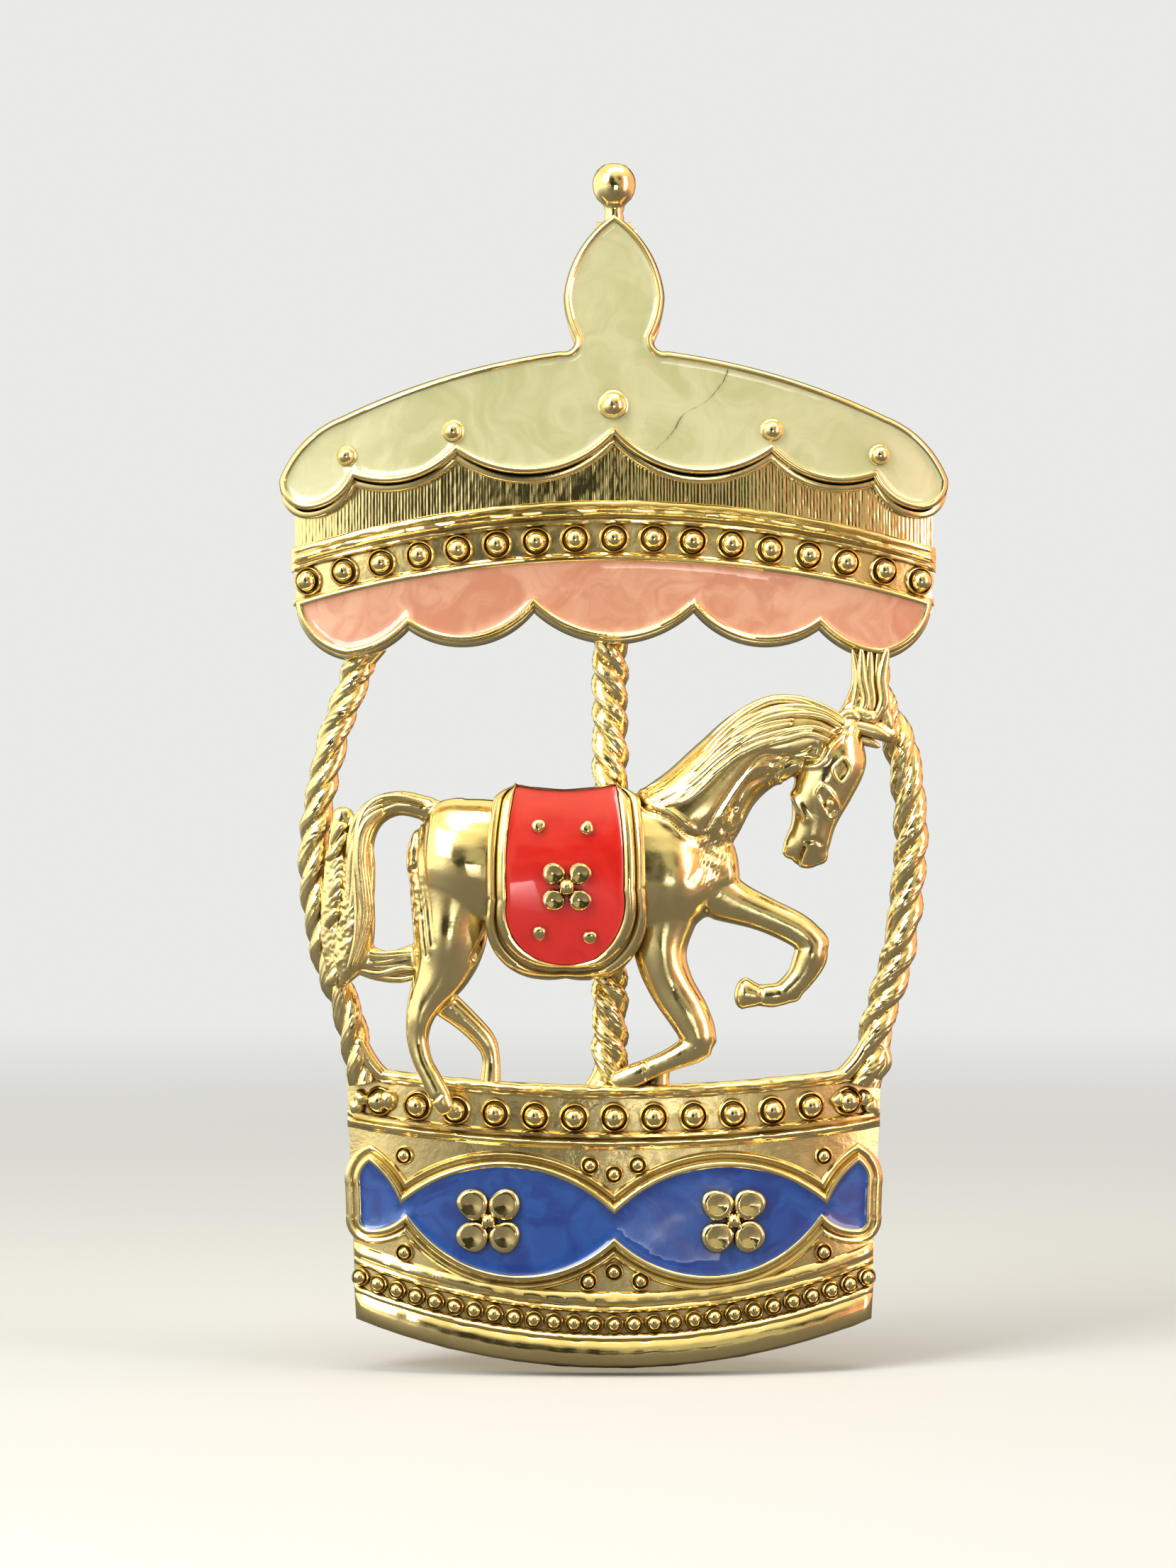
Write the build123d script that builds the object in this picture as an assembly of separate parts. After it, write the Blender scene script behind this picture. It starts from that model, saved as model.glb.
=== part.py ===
from build123d import *
from math import copysign, cos, radians, sin, sqrt
import os

# Carousel brooch, worn upright: +Z is up, the front faces -Y and the pin is at the back.
# Two bowed backing plates, the canopy's and the drum's, are joined by three rope poles,
# and a walking horse stands in front of the poles. Trays on the plates hold the enamel.
# All sizes are millimetres. Outlines are drawn with heights above the foot of the drum,
# and every solid is lowered by ORIGIN_HEIGHT as it is written, so that the origin is the
# middle of the pin stem's straight length, where the cloth lies.

# Pin stem, its hinge and its catch
STEM_RADIUS = 0.40
STEM_TOP, STEM_END = 54.9, 41.6
ORIGIN_HEIGHT = (STEM_TOP + STEM_END) / 2
TIP_RADIUS, TIP_END = 0.06, 37.4
TONGUE_DEPTH = 0.8
HINGE_HEIGHT = 56.9
RIVET_RADIUS, RUNNING_GAP = 0.30, 0.03
EYE_RADIUS, EYE_HALF_WIDTH = 0.62, 0.42
EAR_RADIUS, EAR_INSIDE, EAR_THICKNESS = 0.80, 0.48, 0.42
RIVET_HEAD, RIVET_HEAD_HEIGHT = 0.48, 0.26
RIVET_TAIL, RIVET_TAIL_HEIGHT = 0.44, 0.14
CATCH_HEIGHT, CATCH_LENGTH = 39.8, 1.5
CATCH_OUTER, CATCH_BORE, CATCH_MOUTH = 1.38, 1.02, 1.15
ROTOR_BORE, ROTOR_FLANGE, ROTOR_FLANGE_THICK, ROTOR_END_GAP = 0.50, 1.30, 0.30, 0.10
TAB_REACH, TAB_WIDTH, TAB_ANGLE = 2.40, 0.80, -30.0

# The bowed surface: half an ellipse in plan, as (half width, depth), behind which is BACK_Y
BACK_Y = 0.4
CANOPY_BOW = (18.0, 4.5)
DRUM_BOW = (14.6, 4.2)
PLATE = 1.2
REACH_Y = 12.0
REACH_Z = 64.0

# How an arch's ends rise or fall, as (change in height, at this half width)
CANOPY_ARCH = (-2.25, 16.2)
DRUM_ARCH = (0.95, 13.45)
FOOT_ARCH = (2.20, 13.0)

# Lifts above the plates' front surface
MOULDING_BASE, MOULDING_TOP = 0.20, 0.50
CROWN_FLOOR, CROWN_RIM, CROWN_ENAMEL = 0.50, 1.15, 0.95
VALANCE_RIM, VALANCE_ENAMEL = 0.75, 0.52
BAND_RIM, BAND_ENAMEL = 0.55, 0.40
FOOT_LIFT = 0.60
RIM_WIDTH = 0.30
SEAT_GAP = 0.03

# Ball on top of the finial
FINIAL_RADIUS, FINIAL_Y = 1.07, -4.35

# Beads: (radius, cup's inside radius, cup's outside radius)
LARGE_BEAD = (0.46, 0.53, 0.72)
SMALL_BEAD = (0.27, 0.32, 0.46)
FINE_BEAD_RADIUS = 0.42
BEAD_LIFT, SMALL_BEAD_LIFT, CUP_HEIGHT = 0.30, 0.15, 0.28
SEAT_BOX = 4
SITTING = (Align.CENTER, Align.CENTER, Align.MIN)

# Poles
POLE_RADIUS, SIDE_POLE_RADIUS = 0.80, 0.66
CENTRE_POLE_Y, SIDE_POLE_Y = -2.9, -1.9

# Horse
HORSE_BACK_Y = -2.8
BODY_Y, NEAR_Y, FAR_Y, TAIL_Y = -3.6, -4.1, -3.2, -3.3
SADDLE_MIDDLE, SADDLE_HALF = 24.6, (5.3, 2.7)
SADDLE_RIM, SADDLE_ENAMEL = 0.32, 0.22


# ---------------------------------------------------------------- outlines and layers

def outline(start, steps):
    """Face symmetric about X = 0. The steps run down its right side from start to the
    centre line: (end,) is a straight line and (middle, end) an arc."""
    edges = []
    here = start
    for *middle, end in steps:
        edges.append(ThreePointArc(here, middle[0], end) if middle else Line(here, end))
        here = end
    return make_face(edges + [mirror(edge, about=Plane.YZ) for edge in edges])


def arch(rule, mid, half_width):
    """Arc across the brooch at height mid in the middle."""
    end = mid + rule[0] * (half_width / rule[1]) ** 2
    return ThreePointArc((-half_width, end), (0, mid), (half_width, end))


def band(rule, top, bottom, half_top, half_bottom, lower_rule=None):
    """Face between two arches, with straight sides."""
    upper = arch(rule, top, half_top)
    lower = arch(lower_rule or rule, bottom, half_bottom)
    return make_face([upper, Line(upper @ 0, lower @ 0), Line(upper @ 1, lower @ 1), lower])


def behind(bow, lift):
    """All the space behind a bowed surface raised by lift."""
    return Pos(0, BACK_Y, -1) * extrude(Ellipse(bow[0] + lift, bow[1] + lift), amount=REACH_Z)


def layer(face, bow, low, high):
    """Sheet of that outline between two lifts of the bowed surface."""
    prism = Pos(0, BACK_Y, 0) * extrude(Plane.XZ * face, amount=REACH_Y)
    return (prism & behind(bow, high)) - behind(bow, low)


def on_bow(bow, x, height, lift=0.0):
    """Place on the bowed surface, with its Z axis pointing straight out of it."""
    half_width, depth = bow
    y = -depth * sqrt(1 - (x / half_width) ** 2)
    normal = Vector(x / half_width ** 2, y / depth ** 2, 0).normalized()
    point = Vector(x, BACK_Y + y, height) + normal * lift
    return Plane(origin=point, x_dir=(0, 0, 1), z_dir=normal).location


def spaced(bow, count, pitch):
    """X of count places that lie pitch apart along the bowed surface."""
    half_width, depth = bow
    step = 0.01
    places = []
    for i in range(count):
        from_middle = i - (count - 1) / 2
        x = along = 0.0
        while along < abs(from_middle) * pitch:
            slope = depth * x / (half_width ** 2 * sqrt(1 - (x / half_width) ** 2))
            along += step * sqrt(1 + slope ** 2)
            x += step
        places.append(copysign(x, from_middle))
    return places


def ring(outer, inner, height):
    return Cylinder(outer, height) - Cylinder(inner, height * 2)


# ---------------------------------------------------------------- canopy

crown_face = outline((0, 57.4), [
    ((1.62, 55.75), (2.42, 53.4)),
    ((2.28, 52.4), (1.88, 51.35)),
    ((1.98, 50.85), (2.65, 50.6)),
    ((8.6, 49.35), (13.6, 47.5)),
    ((15.6, 46.25), (16.77, 44.5)),
    ((16.45, 43.45), (15.3, 42.95)),
    ((14.1, 43.3), (13.0, 44.5)),
    ((10.7, 44.25), (7.85, 45.7)),
    ((4.7, 44.6), (0, 46.5)),
])
valance_face = outline((0, 40.55), [
    ((8.0, 40.0), (16.0, 38.35)),
    ((15.0, 36.4), (13.4, 35.65)),
    ((11.7, 36.1), (10.3, 37.15)),
    ((7.7, 36.28), (4.0, 38.0)),
    ((2.2, 36.85), (0, 36.4)),
])
canopy_band = band(CANOPY_ARCH, 46.0, 39.95, 16.1, 16.0)
canopy_face = crown_face + canopy_band + valance_face


def ridged(bow, rule, top, bottom, half_top, half_bottom, ridge):
    """Moulding with a rounded ridge along its top edge and another along its bottom."""
    middle = (half_top + half_bottom) / 2
    base = layer(band(rule, top, bottom, half_top, half_bottom), bow, 0, MOULDING_BASE)
    upper = band(rule, top, top - ridge, half_top, middle)
    lower = band(rule, bottom + ridge, bottom, middle, half_bottom)
    return base + layer(upper, bow, 0, MOULDING_TOP) + layer(lower, bow, 0, MOULDING_TOP)


def tray_rim(face, bow, low, high):
    return layer(face - offset(face, amount=-RIM_WIDTH), bow, low, high)


def domes(bow, places, radius, floor):
    """Domed studs on short posts that stand on the tray's floor."""
    studs = []
    for x, height in places:
        post = on_bow(bow, x, height, floor) * Pos(0, 0, 0.4) * Cylinder(radius * 0.8, 1.0)
        head = on_bow(bow, x, height, floor + 0.5) * Sphere(radius)
        studs.append((post + head) - behind(bow, floor))
    return studs


def along_arch(bow, rule, mid, count, pitch):
    return [(x, mid + rule[0] * (x / rule[1]) ** 2) for x in spaced(bow, count, pitch)]


def seated(bow, x, height, solid):
    """A solid stood on the bowed surface and cut off flat, just clear of it."""
    above = Pos(0, 0, SEAT_GAP) * Box(SEAT_BOX, SEAT_BOX, SEAT_BOX, align=SITTING)
    return on_bow(bow, x, height) * (solid & above)


def bead_row(bow, rule, mid, count, pitch, radius, lift):
    """Half-sunk balls in a row along an arch."""
    places = along_arch(bow, rule, mid, count, pitch)
    return [seated(bow, x, height, Pos(0, 0, lift) * Sphere(radius)) for x, height in places]


def cup_row(bow, places, bead):
    """Round cups that the balls sit in."""
    cup = ring(bead[2], bead[1], 2 * CUP_HEIGHT)
    return [seated(bow, x, height, cup) for x, height in places]


def canopy():
    crown_inside = offset(crown_face, amount=-RIM_WIDTH)
    valance_inside = offset(valance_face, amount=-RIM_WIDTH)
    studs = {
        "crown_stud_centre": domes(CANOPY_BOW, [(0, 48.15)], 0.74, CROWN_FLOOR),
        "crown_studs_inner": domes(CANOPY_BOW, [(-7.9, 46.9), (7.9, 46.9)], 0.50, CROWN_FLOOR),
        "crown_studs_outer": domes(CANOPY_BOW, [(-13.25, 45.7), (13.25, 45.7)], 0.44, CROWN_FLOOR),
    }
    crown_enamel = layer(crown_inside, CANOPY_BOW, CROWN_FLOOR, CROWN_ENAMEL)
    for group in studs.values():
        for stud in group:
            crown_enamel -= stud
    row = along_arch(CANOPY_BOW, CANOPY_ARCH, 41.4, 17, 1.95)
    plate = layer(canopy_face, CANOPY_BOW, -PLATE, 0)
    tray = layer(crown_face, CANOPY_BOW, 0, CROWN_FLOOR)
    tray += tray_rim(crown_face, CANOPY_BOW, CROWN_FLOOR, CROWN_RIM)
    ball = Pos(0, FINIAL_Y, 59.0) * Sphere(FINIAL_RADIUS)
    neck = Pos(0, FINIAL_Y, 57.7) * Cone(0.40, 0.85, 1.2)
    return {
        "canopy_plate": plate,
        "crown_tray": tray,
        "crown_enamel": crown_enamel,
        "finial_ball": ball + neck - plate - tray,
        "canopy_upper_moulding": ridged(
            CANOPY_BOW, CANOPY_ARCH, 43.1, 42.15, 16.25, 16.25, 0.38),
        "canopy_beads": bead_row(
            CANOPY_BOW, CANOPY_ARCH, 41.4, 17, 1.95, LARGE_BEAD[0], BEAD_LIFT),
        "canopy_bead_cups": cup_row(CANOPY_BOW, row, LARGE_BEAD),
        "valance_rim": tray_rim(valance_face, CANOPY_BOW, 0, VALANCE_RIM),
        "valance_enamel": layer(valance_inside, CANOPY_BOW, 0, VALANCE_ENAMEL),
        **studs,
    }


# ---------------------------------------------------------------- drum

drum_face = band(DRUM_ARCH, 14.05, 0.0, 13.5, 13.0, FOOT_ARCH)
blue_face = outline((0, 8.05), [
    ((5.4, 10.28), (10.6, 8.55)),
    ((11.4, 9.75), (12.3, 10.5)),
    ((12.85, 9.8), (12.95, 8.9)),
    ((12.9, 7.4),),
    ((12.75, 6.75), (12.2, 6.6)),
    ((11.2, 6.85), (10.45, 7.35)),
    ((5.3, 4.65), (0, 6.3)),
])
FLOWERS = [(-6.05, 7.36), (6.05, 7.36)]
UPPER_FIELD = [(-1.18, 10.15), (0, 9.7), (1.18, 10.15), (-10.5, 10.5), (10.5, 10.5)]
LOWER_FIELD = [(-1.3, 4.35), (0, 4.8), (1.3, 4.35), (-10.5, 5.65), (10.5, 5.65)]


def flower(place, petal, reach, centre):
    """Four round petals about a raised centre, on a short post."""
    body = place * Cylinder(reach * 0.8, 0.5)
    for quarter in range(4):
        angle = radians(45 + 90 * quarter)
        petal_place = place * Pos(reach * cos(angle), reach * sin(angle), 0)
        body += petal_place * Sphere(petal)
    return body + place * Pos(0, 0, 0.25) * Cylinder(centre, 0.9)


def drum():
    flowers = [
        flower(on_bow(DRUM_BOW, x, h, BAND_ENAMEL + 0.1), 0.72, 0.86, 0.30)
        - behind(DRUM_BOW, SEAT_GAP)
        for x, h in FLOWERS
    ]
    enamel = layer(blue_face, DRUM_BOW, 0, BAND_ENAMEL)
    for piece in flowers:
        enamel -= piece
    rim = offset(blue_face, amount=RIM_WIDTH, kind=Kind.INTERSECTION) & drum_face
    row = along_arch(DRUM_BOW, DRUM_ARCH, 12.5, 13, 1.985)
    field = UPPER_FIELD + LOWER_FIELD
    field_beads = [
        seated(DRUM_BOW, x, h, Pos(0, 0, SMALL_BEAD_LIFT) * Sphere(SMALL_BEAD[0])) for x, h in field
    ]
    foot = layer(band(FOOT_ARCH, 1.62, 0.0, 13.1, 13.0), DRUM_BOW, 0, MOULDING_BASE)
    foot += layer(band(FOOT_ARCH, 1.5, 0.15, 13.1, 13.0), DRUM_BOW, 0, FOOT_LIFT)
    return {
        "drum_plate": layer(drum_face, DRUM_BOW, -PLATE, 0),
        "drum_top_moulding": layer(
            band(DRUM_ARCH, 14.05, 13.5, 13.5, 13.5), DRUM_BOW, 0, MOULDING_TOP),
        "drum_beads": bead_row(
            DRUM_BOW, DRUM_ARCH, 12.5, 13, 1.985, LARGE_BEAD[0], BEAD_LIFT),
        "drum_bead_cups": cup_row(DRUM_BOW, row, LARGE_BEAD),
        "drum_middle_moulding": ridged(DRUM_BOW, DRUM_ARCH, 11.75, 10.95, 13.45, 13.4, 0.32),
        "blue_cell_rim": layer(rim - blue_face, DRUM_BOW, 0, BAND_RIM),
        "blue_enamel": enamel,
        "drum_flower_left": flowers[0],
        "drum_flower_right": flowers[1],
        "field_beads": field_beads,
        "field_bead_cups": cup_row(DRUM_BOW, field, SMALL_BEAD),
        "drum_lower_moulding": ridged(DRUM_BOW, FOOT_ARCH, 3.6, 2.75, 13.1, 13.1, 0.32),
        "drum_fine_beads": bead_row(DRUM_BOW, FOOT_ARCH, 2.2, 27, 1.0, FINE_BEAD_RADIUS, 0.25),
        "drum_foot": foot,
    }


# ---------------------------------------------------------------- poles

LEFT_POLE = [(-12.3, 36.4), (-13.0, 34.3), (-13.9, 31.5), (-14.75, 27.5), (-14.9, 24.5),
             (-14.4, 20.6), (-13.3, 17.7), (-12.5, 14.6)]
RIGHT_POLE = [(12.7, 36.4), (13.3, 33.4), (14.5, 31.2), (15.15, 27.6), (15.15, 24.6),
              (14.6, 20.8), (13.5, 17.5), (12.2, 14.5)]


def side_pole(points, blockers):
    path = Spline([(x, SIDE_POLE_Y, h) for x, h in points])
    start = Plane(origin=path @ 0, z_dir=path % 0)
    pole = sweep(start * Circle(SIDE_POLE_RADIUS), path)
    return pole - blockers


def poles(blockers):
    centre = Pos(-0.2, CENTRE_POLE_Y, 25.6) * Cylinder(POLE_RADIUS, 23.0)
    return {
        "pole_left": side_pole(LEFT_POLE, blockers),
        "pole_centre": centre - blockers,
        "pole_right": side_pole(RIGHT_POLE, blockers),
    }


# ---------------------------------------------------------------- horse and saddle

# Each station is (x, height, half width, half depth, y)
TORSO = [(-10.3, 25.9, 1.3, 0.7, BODY_Y), (-9.4, 25.6, 2.6, 1.6, BODY_Y),
         (-7.4, 25.3, 3.15, 2.1, BODY_Y), (-4.8, 25.0, 3.3, 2.3, BODY_Y),
         (-1.6, 24.9, 3.6, 2.35, BODY_Y), (1.4, 25.0, 3.7, 2.35, BODY_Y),
         (3.6, 25.0, 3.1, 2.0, BODY_Y), (5.2, 25.0, 1.8, 1.3, BODY_Y)]
NECK = [(2.2, 26.0, 2.9, 1.9, BODY_Y), (3.9, 27.8, 2.6, 1.9, BODY_Y),
        (5.6, 29.8, 2.2, 1.7, BODY_Y), (7.4, 31.1, 2.1, 1.5, BODY_Y),
        (9.3, 31.6, 1.8, 1.4, BODY_Y), (10.9, 31.3, 1.3, 1.2, BODY_Y)]
HEAD = [(11.6, 32.0, 0.8, 0.9, BODY_Y), (11.1, 30.6, 1.65, 1.5, BODY_Y),
        (10.6, 28.9, 1.6, 1.4, BODY_Y), (10.1, 27.3, 1.15, 1.1, BODY_Y),
        (9.75, 26.1, 1.0, 0.9, BODY_Y), (9.6, 25.2, 0.6, 0.6, BODY_Y)]
NEAR_HIND = [(-8.0, 24.4, 2.2, 1.7, BODY_Y), (-8.2, 21.4, 1.85, 1.5, -3.8),
             (-8.6, 19.8, 1.45, 1.2, -3.9), (-9.5, 18.1, 0.85, 0.85, NEAR_Y),
             (-9.8, 16.7, 0.58, 0.65, NEAR_Y), (-9.55, 15.4, 0.5, 0.55, -4.3),
             (-9.05, 14.2, 0.5, 0.5, -4.5), (-8.4, 12.9, 0.55, 0.5, -4.6)]
FAR_HIND = [(-9.0, 18.6, 0.8, 0.6, FAR_Y), (-7.5, 17.4, 0.62, 0.6, FAR_Y),
            (-6.45, 16.3, 0.55, 0.55, FAR_Y), (-6.15, 15.4, 0.45, 0.45, FAR_Y),
            (-6.2, 14.3, 0.5, 0.5, FAR_Y)]
FOREARM = [(2.5, 23.6, 2.0, 1.6, BODY_Y), (2.3, 20.9, 1.35, 1.3, -3.8),
           (2.8, 19.2, 1.15, 1.1, -3.9), (3.7, 17.7, 1.05, 0.95, NEAR_Y),
           (4.3, 16.5, 0.85, 0.8, NEAR_Y), (4.5, 15.8, 0.4, 0.5, NEAR_Y)]
CANNON = [(4.7, 16.5, 0.5, 0.5, NEAR_Y), (4.0, 16.0, 0.75, 0.7, NEAR_Y),
          (3.0, 15.5, 0.62, 0.6, NEAR_Y), (1.9, 15.0, 0.55, 0.55, -3.9),
          (0.7, 14.62, 0.5, 0.5, -3.75)]
RAISED_ARM = [(3.4, 24.6, 1.7, 1.3, BODY_Y), (5.4, 23.5, 1.2, 1.1, BODY_Y),
              (7.4, 22.7, 0.9, 0.9, BODY_Y), (9.1, 21.9, 0.85, 0.85, BODY_Y),
              (10.1, 21.1, 0.75, 0.75, BODY_Y)]
RAISED_CANNON = [(10.1, 21.6, 0.5, 0.5, BODY_Y), (9.85, 20.6, 0.85, 0.8, BODY_Y),
                 (9.3, 19.5, 0.72, 0.7, BODY_Y), (8.5, 18.7, 0.62, 0.65, BODY_Y)]
RAISED_HOOF = [(9.0, 18.75, 0.5, 0.55, BODY_Y), (8.0, 18.6, 0.6, 0.6, BODY_Y),
               (7.1, 18.6, 0.55, 0.55, BODY_Y), (6.4, 18.6, 0.62, 0.6, BODY_Y)]
TAIL = [(-9.2, 27.9, 0.6, 0.6, TAIL_Y), (-10.8, 28.2, 0.62, 0.7, TAIL_Y),
        (-12.1, 27.6, 0.7, 0.8, TAIL_Y), (-12.7, 26.2, 0.7, 0.85, TAIL_Y),
        (-12.8, 24.0, 0.8, 0.9, TAIL_Y), (-12.9, 21.8, 0.95, 0.9, TAIL_Y),
        (-13.2, 20.3, 0.85, 0.8, TAIL_Y), (-13.6, 19.2, 0.3, 0.4, TAIL_Y)]
TAIL_WEB = [(-12.6, 20.7, 0.5, 0.5, TAIL_Y), (-11.2, 20.5, 0.45, 0.45, TAIL_Y),
            (-9.6, 20.6, 0.5, 0.5, TAIL_Y)]
PLUME = [(11.3, 31.2, 0.6, 0.6, -3.2), (12.1, 32.6, 0.62, 0.6, -2.9),
         (12.6, 34.0, 0.55, 0.5, -2.8), (12.75, 35.7, 0.5, 0.45, -2.7)]

saddle_face = make_face([
    Line((-5.3, 28.6), (-0.1, 28.7)),
    ThreePointArc((-0.1, 28.7), (1.2, 26.8), (1.35, 24.0)),
    ThreePointArc((1.35, 24.0), (0.85, 21.6), (-1.9, 20.0)),
    ThreePointArc((-1.9, 20.0), (-4.7, 21.0), (-5.5, 23.6)),
    ThreePointArc((-5.5, 23.6), (-5.65, 26.2), (-5.3, 28.6)),
])
SADDLE_FLOWER = (-2.35, 24.1)
SADDLE_STUDS = [(-3.75, 27.0), (-1.35, 26.9), (-3.7, 21.9), (-1.2, 21.7)]


def limb(stations):
    """Loft through ellipses set square to the line that joins their centres."""
    centres = [Vector(x, y, height) for x, height, _, _, y in stations]
    sections = []
    for i, (_, _, half_width, half_depth, _) in enumerate(stations):
        along = centres[min(i + 1, len(centres) - 1)] - centres[max(i - 1, 0)]
        along = Vector(along.X, 0, along.Z).normalized()
        across = Vector(along.Z, 0, -along.X)
        plane = Plane(origin=centres[i], x_dir=across, z_dir=along)
        sections.append(plane * Ellipse(half_width, half_depth))
    return loft(sections)


def barrel(lift):
    """All the space inside the saddle's rounded surface raised by lift."""
    half_height, half_depth = SADDLE_HALF
    section = Plane.YZ * Ellipse(half_depth + lift, half_height + lift)
    return Pos(-20, BODY_Y, SADDLE_MIDDLE) * extrude(section, amount=40)


def on_barrel(x, height, lift):
    half_height, half_depth = SADDLE_HALF
    up = height - SADDLE_MIDDLE
    y = -half_depth * sqrt(1 - (up / half_height) ** 2)
    normal = Vector(0, y / half_depth ** 2, up / half_height ** 2).normalized()
    point = Vector(x, BODY_Y + y, height) + normal * lift
    return Plane(origin=point, x_dir=(1, 0, 0), z_dir=normal).location


def over_barrel(face, low, high):
    prism = Pos(0, HORSE_BACK_Y, 0) * extrude(Plane.XZ * face, amount=REACH_Y)
    shell = prism & barrel(high)
    return shell - barrel(low) if low is not None else shell


def horse(blockers):
    body = limb(TORSO)
    for stations in (NECK, HEAD, NEAR_HIND, FAR_HIND, FOREARM, CANNON, RAISED_ARM,
                     RAISED_CANNON, RAISED_HOOF, TAIL, TAIL_WEB, PLUME):
        body += limb(stations)
    body &= Pos(0, HORSE_BACK_Y - 5, 25) * Box(60, 10, 60)
    for blocker in blockers:
        body -= blocker
    return body


def saddle(horse_body, poles_behind):
    inside = offset(saddle_face, amount=-RIM_WIDTH)
    blossom = flower(on_barrel(*SADDLE_FLOWER, SADDLE_ENAMEL + 0.1), 0.50, 0.62, 0.26)
    blossom -= barrel(0)
    studs = [on_barrel(x, h, SADDLE_ENAMEL) * Sphere(0.34) - barrel(0) for x, h in SADDLE_STUDS]
    enamel = over_barrel(inside, 0, SADDLE_ENAMEL)
    for piece in [blossom, *studs]:
        enamel -= piece
    pad = over_barrel(saddle_face, None, 0) - horse_body
    return {
        "saddle_pad": pad - poles_behind,
        "saddle_rim": over_barrel(saddle_face - inside, 0, SADDLE_RIM),
        "saddle_enamel": enamel,
        "saddle_flower": blossom,
        "saddle_studs": studs,
    }


# ---------------------------------------------------------------- pin, hinge and catch

FLOOR_Y = BACK_Y - CANOPY_BOW[1] + PLATE


def across(radius, x_low, x_high, y, height):
    """Cylinder along X."""
    middle = (x_low + x_high) / 2
    return Pos(middle, y, height) * Rot(0, 90, 0) * Cylinder(radius, x_high - x_low)


def hinge():
    root_low, root_high = (FLOOR_Y, HINGE_HEIGHT - 2.3), (FLOOR_Y, HINGE_HEIGHT - 0.5)
    neck_low, neck_high = (-0.10, HINGE_HEIGHT - EAR_RADIUS), (-0.25, HINGE_HEIGHT + 0.76)
    ear_face = Plane.YZ * make_face([
        Line(root_low, root_high),
        Line(root_high, neck_high),
        ThreePointArc(neck_high, (EAR_RADIUS, HINGE_HEIGHT), neck_low),
        Line(neck_low, root_low),
    ])
    outside = EAR_INSIDE + EAR_THICKNESS
    block = Pos(0, FLOOR_Y + 0.25, HINGE_HEIGHT - 1.4) * Box(2 * outside, 0.5, 1.8)
    for side in (EAR_INSIDE, -outside):
        block += Pos(side, 0, 0) * extrude(ear_face, amount=EAR_THICKNESS)
    block -= across(RIVET_RADIUS, -2, 2, 0, HINGE_HEIGHT)
    rivet = across(RIVET_RADIUS, -outside, outside, 0, HINGE_HEIGHT)
    rivet += across(RIVET_HEAD, outside, outside + RIVET_HEAD_HEIGHT, 0, HINGE_HEIGHT)
    rivet += across(RIVET_TAIL, -outside - RIVET_TAIL_HEIGHT, -outside, 0, HINGE_HEIGHT)
    return {"hinge_block": block, "hinge_rivet": rivet}


def turned(radius_low, radius_high, low, high):
    """Round bar or cone along Z between two heights."""
    middle, length = (low + high) / 2, high - low
    if radius_low == radius_high:
        return Pos(0, 0, middle) * Cylinder(radius_low, length)
    return Pos(0, 0, middle) * Cone(radius_low, radius_high, length)


def pin_stem():
    eye = across(EYE_RADIUS, -EYE_HALF_WIDTH, EYE_HALF_WIDTH, 0, HINGE_HEIGHT)
    tongue_length = HINGE_HEIGHT - STEM_TOP
    tongue = Box(2 * EYE_HALF_WIDTH, TONGUE_DEPTH, tongue_length)
    stem = eye + Pos(0, 0, HINGE_HEIGHT - tongue_length / 2) * tongue
    stem += turned(STEM_RADIUS, STEM_RADIUS, STEM_END, STEM_TOP)
    stem += turned(TIP_RADIUS, STEM_RADIUS, TIP_END, STEM_END)
    return stem - across(RIVET_RADIUS + RUNNING_GAP, -2, 2, 0, HINGE_HEIGHT)


def catch():
    low, high = CATCH_HEIGHT - CATCH_LENGTH / 2, CATCH_HEIGHT + CATCH_LENGTH / 2
    foot = Pos(0, (FLOOR_Y - 0.9) / 2, CATCH_HEIGHT) * Box(1.7, -0.9 - FLOOR_Y, CATCH_LENGTH)
    housing = foot + turned(CATCH_OUTER, CATCH_OUTER, low, high)
    housing -= turned(CATCH_BORE, CATCH_BORE, low - 1, high + 1)
    housing -= Pos(0, 1.5, CATCH_HEIGHT) * Box(CATCH_MOUTH, 3.0, 3.0)

    end_low, end_high = low - ROTOR_END_GAP, high + ROTOR_END_GAP
    barrel_radius = CATCH_BORE - RUNNING_GAP
    rotor = turned(barrel_radius, barrel_radius, end_low, end_high)
    rotor += turned(ROTOR_FLANGE, ROTOR_FLANGE, end_low - ROTOR_FLANGE_THICK, end_low)
    rotor += turned(ROTOR_FLANGE, ROTOR_FLANGE, end_high, end_high + ROTOR_FLANGE_THICK)
    tab_height = end_low - ROTOR_FLANGE_THICK / 2
    tab = Pos((TAB_REACH + 0.8) / 2, 0, 0) * Box(TAB_REACH - 0.8, TAB_WIDTH, ROTOR_FLANGE_THICK)
    tab += Pos(TAB_REACH, 0, 0) * Cylinder(TAB_WIDTH / 2, ROTOR_FLANGE_THICK)
    rotor += Pos(0, 0, tab_height) * Rot(0, 0, TAB_ANGLE) * tab
    rotor -= turned(ROTOR_BORE, ROTOR_BORE, low - 2, high + 2)
    rotor -= Pos(0, 1.5, CATCH_HEIGHT) * Box(2 * ROTOR_BORE, 3.0, 6.0)
    return {"catch_housing": housing, "catch_rotor": rotor}


# ---------------------------------------------------------------- the whole brooch

def write(pieces):
    os.makedirs("parts", exist_ok=True)
    lower = Pos(0, 0, -ORIGIN_HEIGHT)
    for name, shape in pieces.items():
        whole = shape if isinstance(shape, list) else [shape]
        solids = [solid for piece in whole for solid in piece.solids()]
        export_step(lower * Compound(children=solids), f"parts/{name}.step")


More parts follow.
